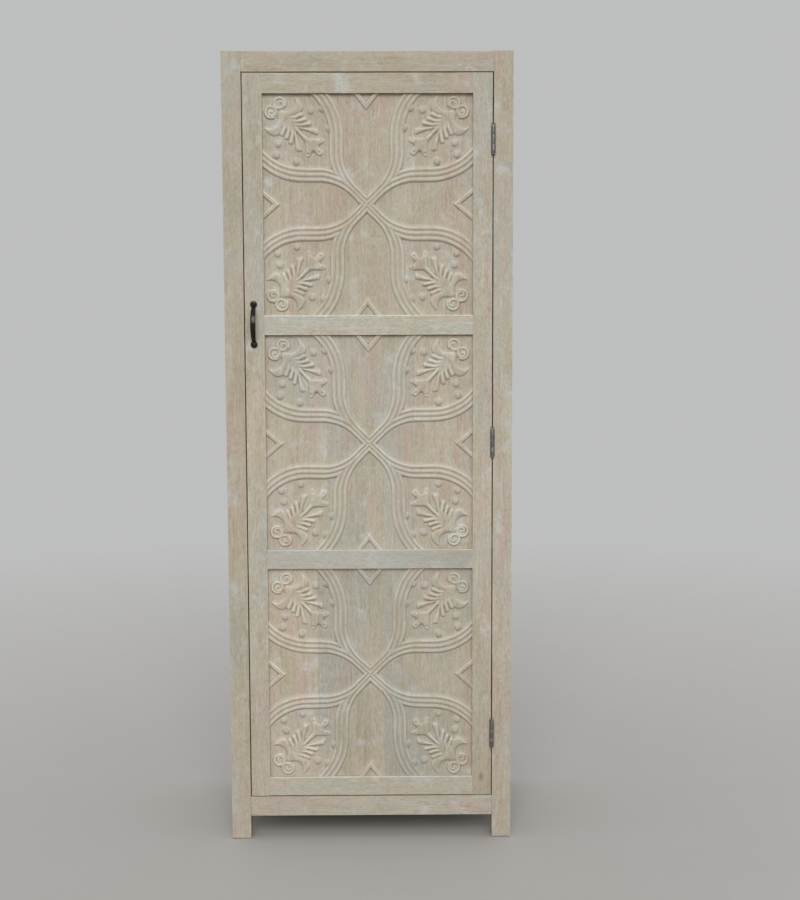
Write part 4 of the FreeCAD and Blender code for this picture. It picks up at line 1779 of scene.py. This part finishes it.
    def shade_boards(self, piece: Piece, carve: Array, u: Array, v: Array, middle: Vector) -> None:
        """Store crests and hollows, and give each glued board its own tone and grain.

        Args:
            piece: Closed panel.
            carve: Crests and hollows on the carving grid.
            u: Places across of that grid.
            v: Places up of that grid.
            middle: Middle of the panel.
        """
        points = Bench.points(piece)
        at_u, at_v = (points[:, 0] - middle.x) / MM, (points[:, 2] - middle.z) / MM
        near = []
        for places, line in ((at_v, v[:, 0]), (at_u, u[0])):
            last = len(line) - 1
            share = (places - line[0]) / (line[-1] - line[0])
            near.append(np.clip(np.round(share * last).astype(int), 0, last))
        on_back = points[:, 1] > points[:, 1].max() - MM
        Bench.note(piece, "carve", np.where(on_back, 0.0, carve[tuple(near)]))
        centres = (Bench.vectors(piece.data.polygons, "center") - middle) / MM
        board = np.searchsorted(self.seams, centres[:, 0])
        shifts = np.random.default_rng(self.seed + 50).uniform(-3.0, 3.0, (len(self.boards), 3))
        Bench.note(piece, "shift", shifts[board], "FACE")
        tone, chill, blush, lift = np.asarray(self.boards).T
        Bench.note(piece, "tone", tone[board] + lift[board] * centres[:, 2] / np.ptp(at_v), "FACE")
        Bench.note(piece, "chill", chill[board], "FACE")
        Bench.note(piece, "blush", blush[board], "FACE")


@dataclass(frozen=True)
class Screw:
    """Countersunk screw head with a cross recess.

    Attributes:
        radius: Radius of the head.
        proud: How far it stands out.
        sunk: How far it goes in.
        ease: Rounding of its rim, as a share of how far it stands out.
        arm: Half the length of the recess, as a share of the radius.
        slot: Half the width of the recess, as a share of the radius.
        recess: Depth of the recess, as a share of the radius.
        first_turn: Turn of the first head of a set, in radians.
        next_turn: Turn from one head to the next.
    """

    radius: float
    proud: float = 0.0006
    sunk: float = 0.0012
    ease: float = 0.7
    arm: float = 0.62
    slot: float = 0.16
    recess: float = 0.30
    first_turn: float = 0.3
    next_turn: float = 0.7

    def model(self) -> Piece:
        """Model one head at the origin, facing up.

        Returns:
            The bare head.
        """
        centre = Vector((0.0, 0.0, (self.proud - self.sunk) / 2))
        head = Bench.drum("screw", centre, self.radius, self.proud + self.sunk, Axis.UP, sides=28)
        Bench.rim(head, self.proud * self.ease, segments=2)
        arm, slot, depth = (self.radius * share for share in (self.arm, self.slot, self.recess))
        arms = []
        for x, y in ((arm, slot), (slot, arm)):
            span = (Vector((-x, -y, self.proud - depth)), Vector((x, y, OVERCUT)))
            arms.append(Bench.block("recess", span))
        Bench.cut(head, arms)
        return head

    def drive(self, name: str, node: str, places: Sequence[tuple[Vector, Vector]], slot: Slot,
              finish: Finish) -> None:
        """Set heads into a piece.

        Args:
            name: Name of the set.
            node: CAD node that carries it.
            places: Middle of each head and the way that it faces.
            slot: Material slot; not used.
            finish: Finish of the heads.
        """
        head = self.model()
        heads = []
        for i, (point, facing) in enumerate(places):
            spin = Matrix.Rotation(self.next_turn * i + self.first_turn, 4, "Z")
            turn = facing.to_track_quat("Z", "Y").to_matrix().to_4x4() @ spin
            heads.append(Bench.copy(head, Matrix.Translation(point) @ turn))
        bpy.data.objects.remove(head)
        DRESSER.fit(heads, name, finish, node, angle=30.0, replaced=False)


@dataclass
class ButtHinge:
    """Steel butt hinge: two leaves, their knuckles and the pin.

    Attributes:
        level: Which of the three it is.
        axis_x: Place of its axis, across.
        axis_y: Place of its axis, in depth.
        barrel_r: Radius of the knuckles.
        barrel_play: Play of the knuckles in their notch.
        leaf_t: Thickness of a leaf.
        leaf_gap: Gap between the leaves.
        play: Play round a leaf and beside the other leaf's knuckles.
        notch_below: How far the notch goes on under the leaf.
        notch_above: How far the notch goes on over the leaf.
        leaf_ease: Rounding of a leaf's edges.
        knuckles: Number of knuckles.
        knuckle_gap: Gap between the knuckles.
        knuckle_ease: Rounding of their ends.
        pin_r: Radius of the pin.
        cap_r: Radius of the pin's caps.
        cap_h: Height of the caps.
        cap_ease: Rounding of the caps.
        screw: Head of its screws.
        screws: Where they lie, as shares of the leaf's height.
        screw_sink: How far a screw's middle lies inside its leaf.
        screw_sway: How far the screws lie off the leaf's middle by turns.
    """

    level: str
    axis_x: float = 0.280
    axis_y: float = -0.1885
    barrel_r: float = 0.0045
    barrel_play: float = 0.0004
    leaf_t: float = 0.0016
    leaf_gap: float = 0.0006
    play: float = 0.0003
    notch_below: float = 0.010
    notch_above: float = 0.0045
    leaf_ease: float = 0.0002
    knuckles: int = 3
    knuckle_gap: float = 0.0002
    knuckle_ease: float = 0.0005
    pin_r: float = 0.0023
    cap_r: float = 0.0034
    cap_h: float = 0.0016
    cap_ease: float = 0.0007
    screw: Screw = Screw(0.0032, 0.0004)
    screws: tuple[float, ...] = (0.14, 0.5, 0.86)
    screw_sink: float = 0.0005
    screw_sway: float = 0.003

    @staticmethod
    def recesses(leaf: str) -> list[Span]:
        """Blocks that the three hinges take out of the wood.

        Args:
            leaf: Which leaf lies in the wood.

        Returns:
            A shallow recess and a notch for the barrel to each hinge.
        """
        cuts = []
        for level in HINGE_LEVELS:
            hinge = ButtHinge(level)
            low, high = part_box("%s_hinge_%s" % (level, leaf))
            front = low.y - OVERCUT
            x0, x1 = sorted(hinge.leaf_span(leaf))
            cuts.append((Vector((x0, front, low.z - hinge.play)),
                         Vector((x1, high.y + hinge.play, high.z + hinge.play))))
            reach = hinge.barrel_r + hinge.barrel_play
            cuts.append((Vector((hinge.axis_x - reach, front, low.z - hinge.notch_below)),
                         Vector((hinge.axis_x + reach, hinge.axis_y + reach, high.z + hinge.notch_above))))
        return cuts

    def leaf_span(self, leaf: str) -> tuple[float, float]:
        """Where a leaf's faces lie, across.

        Args:
            leaf: Which leaf it is.

        Returns:
            The face in the gap, and the one on the wood.
        """
        side = 1 if leaf == "post_leaf" else -1
        near = self.axis_x + side * self.leaf_gap / 2
        return near, near + side * self.leaf_t

    def on_axis(self, z: float) -> Vector:
        """Point of the hinge's axis at a height."""
        return Vector((self.axis_x, self.axis_y, z))

    def build(self) -> None:
        """Make the leaves, the pin and the screws."""
        for leaf, first in (("post_leaf", 0), ("door_leaf", 1)):
            self.leaf(leaf, first)
        node = self.level + "_hinge_pin"
        low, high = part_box(node)
        centre = self.on_axis((low.z + high.z) / 2)
        parts = [Bench.drum("pin", centre, self.pin_r, high.z - low.z, Axis.UP, sides=24)]
        for z, way in ((low.z, -1), (high.z, 1)):
            centre = self.on_axis(z + way * self.cap_h / 2)
            cap = Bench.drum("cap", centre, self.cap_r, self.cap_h, Axis.UP, sides=28)
            Bench.rim(cap, self.cap_ease)
            parts.append(cap)
        DRESSER.fit(parts, node + "_steel", SCREW_STEEL, node)

    def leaf(self, leaf: str, first: int) -> None:
        """Make one leaf with its knuckles and screws.

        Args:
            leaf: Which leaf it is.
            first: Number of its first knuckle from below.
        """
        node = "%s_hinge_%s" % (self.level, leaf)
        low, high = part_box(node)
        near, far = self.leaf_span(leaf)
        x0, x1 = sorted((near, far))
        plate = Bench.block("plate", (Vector((x0, self.axis_y, low.z)), Vector((x1, high.y, high.z))))
        step = (high.z - low.z) / self.knuckles
        behind = self.axis_y + self.barrel_r + self.play
        gaps, parts = [], [plate]
        for i in range(self.knuckles):
            foot = low.z + i * step
            if i % 2 == first:
                centre = self.on_axis(foot + step / 2)
                height = step - self.knuckle_gap
                knuckle = Bench.drum("knuckle", centre, self.barrel_r, height, Axis.UP, sides=40)
                Bench.rim(knuckle, self.knuckle_ease, segments=2)
                parts.append(knuckle)
            else:
                span = (Vector((x0 - OVERCUT, self.axis_y - OVERCUT, foot)),
                        Vector((x1 + OVERCUT, behind, foot + step)))
                gaps.append(Bench.block("gap", span))
        Bench.cut(plate, gaps)
        Bench.rim(plate, self.leaf_ease, segments=1)
        DRESSER.fit(parts, node + "_steel", HINGE_STEEL, node)
        facing = Vector((near - far, 0.0, 0.0)).normalized()
        deep = (self.axis_y + self.barrel_r + high.y) / 2
        places = []
        for i, share in enumerate(self.screws):
            y = deep + (self.screw_sway if i % 2 else -self.screw_sway)
            z = low.z + share * (high.z - low.z)
            places.append((Vector((near - facing.x * self.screw_sink, y, z)), facing))
        self.screw.drive(node + "_screws", node, places, Slot.HINGE_STEEL, SCREW_STEEL)


@dataclass
class BowHandle:
    """Forged bow pull with two round ends.

    Attributes:
        centres: Between the middles of the round ends.
        foot: Middle of a round end to the foot of the bow.
        bow_w: Width of the bow in its middle.
        end_w: Width of the bow at its ends.
        bow_t: Thickness of the bow.
        overrun: How far the bow runs on into its ends, as a factor on its turn.
        pad_r: Radius of the round ends.
        pad_t: Thickness of the round ends.
        bow_ease: Rounding of the bow's edges.
        pad_ease: Rounding of the round ends.
        sharp: Angle of the edges that stay sharp, in degrees.
        screw: Head of its screws.
        screw_out: How far a screw lies out from the middle of its end.
        steps: Facets of the bow along its length.
    """

    centres: float = 0.090
    foot: float = 0.0055
    bow_w: float = 0.0118
    end_w: float = 0.0080
    bow_t: float = 0.0050
    overrun: float = 1.04
    pad_r: float = 0.0078
    pad_t: float = 0.0032
    bow_ease: float = 0.0015
    pad_ease: float = 0.0011
    sharp: float = 40.0
    screw: Screw = Screw(0.0034, 0.0009)
    screw_out: float = 0.0012
    steps: int = 36

    def bow(self, middle: Vector, face: float, reach: float) -> Piece:
        """Spin the bow from a flat bar's end.

        Args:
            middle: Middle of the handle's box.
            face: Where the door's face lies.
            reach: How far the bow stands out.

        Returns:
            The bare bow.
        """
        half = self.centres / 2 - self.foot
        rise = reach - self.bow_t / 2
        radius = (half ** 2 + rise ** 2) / (2 * rise)
        hub = Vector((middle.x, face + radius - rise, middle.z))
        turn = math.asin(half / radius) * self.overrun
        bar = Bench.add("bow", bpy.ops.mesh.primitive_plane_add, (self.bow_w, self.bow_t, 1.0), size=1.0,
                        location=hub - Vector((0.0, radius, 0.0)))
        to_end = Matrix.Translation(hub) @ Matrix.Rotation(turn, 4, "X") @ Matrix.Translation(-hub)
        bar.data.transform(to_end)
        with Bench.editing(bar):
            bpy.ops.mesh.select_all(action="SELECT")
            bpy.ops.mesh.spin(steps=self.steps, angle=2 * turn, center=hub, axis=(1.0, 0.0, 0.0),
                              use_auto_merge=False)
            bpy.ops.mesh.select_all(action="SELECT")
            bpy.ops.mesh.remove_doubles(threshold=1e-6)
            bpy.ops.mesh.normals_make_consistent(inside=False)
        points = Bench.points(bar)
        angle = np.arctan2(points[:, 2] - hub.z, hub.y - points[:, 1])
        share = np.clip((1 - np.cos(angle)) / (1 - math.cos(turn)), 0.0, 1.0)
        points[:, 0] = middle.x + (points[:, 0] - middle.x) * (1 + (self.end_w / self.bow_w - 1) * share)
        Bench.move_points(bar, points)
        return bar

    def build(self) -> None:
        """Make the handle and its screws."""
        node = "door_handle"
        low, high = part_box(node)
        middle = (low + high) / 2
        face = high.y
        bar = self.bow(middle, face, face - low.y)
        Bench.rim(bar, self.bow_ease)
        parts, places = [bar], []
        for way in (-1, 1):
            centre = Vector((middle.x, face - self.pad_t / 2, middle.z + way * self.centres / 2))
            pad = Bench.drum("pad", centre, self.pad_r, self.pad_t, Axis.DEEP, sides=48)
            Bench.rim(pad, self.pad_ease)
            parts.append(pad)
            place = Vector((middle.x, face - self.pad_t, centre.z + way * self.screw_out))
            places.append((place, Vector((0.0, -1.0, 0.0))))
        DRESSER.fit(parts, node + "_iron", BLACK_IRON, node, self.sharp)
        self.screw.drive(node + "_screws", node, places, Slot.IRON, BLACK_IRON)


@dataclass
class MagneticCatch:
    """Catch on the batten, and the plate that it holds on the door.

    Attributes:
        ear_in: Ends of the catch to the screws in its ears.
        ear_t: Thickness of these ears.
        strike_in: Ends of the plate to its screws.
        ease: Rounding of the edges.
        ear_screw: Head of the catch's screws.
        strike_screw: Head of the plate's screws.
    """

    ear_in: float = 0.0052
    ear_t: float = 0.004
    strike_in: float = 0.0045
    ease: float = 0.0004
    ear_screw: Screw = Screw(0.0028)
    strike_screw: Screw = Screw(0.0026, 0.0003)

    def build(self) -> None:
        """Finish the catch's nodes, ease their edges and set their screws."""
        for node, finish in (("catch_body", CATCH_PLASTIC), ("catch_magnet", MAGNET_BLACK),
                             ("strike_plate", STRIKE_STEEL)):
            piece = frame["nodes"][node]
            piece.data.materials.clear()
            piece.data.materials.append(finish.material())
            weld = piece.modifiers.new("weld", "WELD")
            weld.merge_threshold = 1e-5
            ease = piece.modifiers.new("ease", "BEVEL")
            ease.width, ease.segments, ease.limit_method = self.ease, 2, "ANGLE"
            LOG.info("%s keeps its solid", node)
        low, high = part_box("catch_body")
        x, y = low.x + self.ear_t, (low.y + high.y) / 2
        levels = (low.z + self.ear_in, high.z - self.ear_in)
        places = [(Vector((x, y, z)), Vector((1.0, 0.0, 0.0))) for z in levels]
        self.ear_screw.drive("catch_screws", "catch_body", places, Slot.STRIKE, SCREW_STEEL)
        low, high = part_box("strike_plate")
        x, y = (low.x + high.x) / 2, high.y
        levels = (low.z + self.strike_in, high.z - self.strike_in)
        places = [(Vector((x, y, z)), Vector((0.0, 1.0, 0.0))) for z in levels]
        self.strike_screw.drive("strike_screws", "strike_plate", places, Slot.STRIKE, SCREW_STEEL)


@dataclass
class Studio:
    """Plain pale floor, soft light and the camera.

    Attributes:
        eye: Place of the camera.
        yaw: Turn of the camera about the upright axis, in degrees.
        pitch: Tilt of the camera, in degrees.
        roll: Turn of the camera about its own axis, in degrees.
        lens: Focal length in millimetres for a frame of the sensor's width.
        sensor: Width of that frame.
        floor_colour: Colour that the floor shows.
        back_colour: Colour that the background shows.
        floor_bounce: Colour of the floor where it only throws light back.
        floor_r: Radius of the floor.
        floor_fade: Where the floor begins to fade, and where it is gone.
        sky_colour: Colour of the sky's light.
        horizon: Strength of the sky's light at the horizon.
        zenith: Its strength overhead.
        ground: Share of it that comes from below.
        day_power: Strength of the daylight.
        day_spread: Angle that the daylight comes from, in degrees.
        day_from: How far to the left and how high it comes from, in degrees.
        day_away: How far away its lamp stands, which doesn't change the light.
    """

    eye: tuple[float, float, float] = (0.0417, -3.1342, 1.1852)
    yaw: float = -0.541
    pitch: float = -5.296
    roll: float = 0.197
    lens: float = 52.0
    sensor: float = 36.0
    floor_colour: Colour = (0.40, 0.385, 0.365)
    back_colour: Colour = (0.512, 0.517, 0.516)
    floor_bounce: Colour = (0.24, 0.19, 0.14)
    floor_r: float = 6.0
    floor_fade: tuple[float, float] = (0.9, 4.2)
    sky_colour: Colour = (0.97, 0.985, 1.0)
    horizon: float = 0.79
    zenith: float = 0.83
    ground: float = 0.22
    day_power: float = 1.72
    day_spread: float = 36.0
    day_from: tuple[float, float] = (0.0, 31.0)
    day_away: float = 4.0

    def camera(self) -> None:
        """Set the camera where the photograph was taken."""
        data = bpy.data.cameras.new("camera")
        data.lens, data.sensor_width, data.sensor_fit = self.lens, self.sensor, "AUTO"
        camera = bpy.data.objects.new("camera", data)
        turn = Matrix.Identity(4)
        for angle, axis in ((self.yaw, "Z"), (90 + self.pitch, "X"), (-self.roll, "Z")):
            turn = turn @ Matrix.Rotation(math.radians(angle), 4, axis)
        camera.matrix_world = Matrix.Translation(self.eye) @ turn
        bpy.context.scene.collection.objects.link(camera)
        bpy.context.scene.camera = camera

    def daylight(self) -> None:
        """Let soft daylight in from above and behind the viewer."""
        data = bpy.data.lights.new("daylight", "SUN")
        data.energy, data.angle = self.day_power, math.radians(self.day_spread)
        lamp = bpy.data.objects.new("daylight", data)
        aside, rise = (math.radians(angle) for angle in self.day_from)
        level = math.cos(rise)
        way = Vector((math.sin(aside) * level, math.cos(aside) * level, -math.sin(rise)))
        turn = way.to_track_quat("-Z", "Y").to_matrix().to_4x4()
        lamp.matrix_world = Matrix.Translation(-self.day_away * way) @ turn
        bpy.context.scene.collection.objects.link(lamp)

    def floor(self) -> None:
        """Lay a pale floor that fades into the background."""
        floor = Bench.add("floor", bpy.ops.mesh.primitive_circle_add, vertices=96, radius=self.floor_r,
                          fill_type="NGON", location=(0.0, 0.0, 0.0))
        sketch = NodeSketch("pale_floor")
        where = sketch.node("TexCoord").outputs["Object"]
        speck = sketch.noise(where, 5.0, 3.0)
        shade = tuple(0.97 * part for part in self.floor_colour)
        pale = sketch.over(self.floor_colour, shade, speck, 0.3, 0.7, 0.5)
        sketch.set(Base_Color=sketch.mix(sketch.seen(), self.floor_bounce, pale), Roughness=0.9,
                   Specular_IOR_Level=0.1)
        fade = sketch.spread(sketch.length(where), *self.floor_fade)
        clear = sketch.node("BsdfTransparent").outputs[0]
        surface = sketch.tree.nodes["Material Output"].inputs["Surface"]
        sketch.feed(surface, sketch.blend(fade, sketch.shader.outputs[0], clear))
        floor.data.materials.append(sketch.material)

    def world(self) -> None:
        """Light the room like an overcast sky, with a pale background behind the cabinet."""
        world = bpy.data.worlds.new("room")
        bpy.context.scene.world = world
        world.use_nodes = True
        sketch = NodeSketch.on(world.node_tree)
        sketch.tree.nodes.clear()
        up = sketch.node("SeparateXYZ")
        sketch.feed(up.inputs[0], sketch.node("TexCoord").outputs["Generated"])
        sky = sketch.spread(up.outputs["Z"], 0.0, 0.9, self.horizon, self.zenith)
        sky = sketch.maths("MULTIPLY", sky, sketch.spread(up.outputs["Z"], -0.12, 0.03, self.ground, 1.0))
        room, back = sketch.node("Background"), sketch.node("Background")
        sketch.feed(room.inputs["Color"], self.sky_colour)
        sketch.feed(room.inputs["Strength"], sky)
        sketch.feed(back.inputs["Color"], self.back_colour)
        light = sketch.blend(sketch.seen(), room.outputs[0], back.outputs[0])
        sketch.feed(sketch.node("OutputWorld").inputs["Surface"], light)

    def build(self) -> None:
        """Set up the studio."""
        bpy.context.scene.view_settings.view_transform = "Standard"
        self.camera()
        self.floor()
        self.world()
        self.daylight()


def main() -> None:
    """Build the dressed cabinet and its studio."""
    logging.basicConfig(level=logging.INFO, format="%(name)s: %(message)s")
    Studio().build()
    Carcass().build()
    Shelving().build()
    DoorFrame().build()
    rails = ("door_bottom_rail", "door_lower_mid_rail", "door_upper_mid_rail", "door_top_rail")
    seams = ((-122.0, 32.0, 118.0), (-96.0, -8.0, 104.0), (-180.0, -122.0, 105.0))
    boards = (
        ((1.00, -0.5, 0.2, 0.05), (0.90, 0.2, 0.0, 0.0), (0.88, 0.3, -0.1, 0.15), (0.91, 0.0, 0.0, 0.07)),
        ((0.985, -0.4, 0.1, 0.0), (0.99, 0.7, 0.1, 0.06), (0.99, 0.4, -0.1, 0.0), (0.98, -0.8, 0.1, 0.05)),
        ((1.035, 0.0, -0.2, 0.04), (0.96, -1.2, 0.5, 0.0), (0.965, -1.6, 0.1, 0.0), (0.965, -1.2, 0.1, 0.0)),
    )
    offsets = ((-1.0, -3.0), (-0.7, -1.0), (-2.7, 2.3))
    for i, place in enumerate(("bottom", "middle", "top")):
        CarvedPanel(place, rails[i], rails[i + 1], seams[i], boards[i], offsets[i], 11 + i).build()
    for level in HINGE_LEVELS:
        ButtHinge(level).build()
    BowHandle().build()
    MagneticCatch().build()


if __name__ == "__main__":
    main()
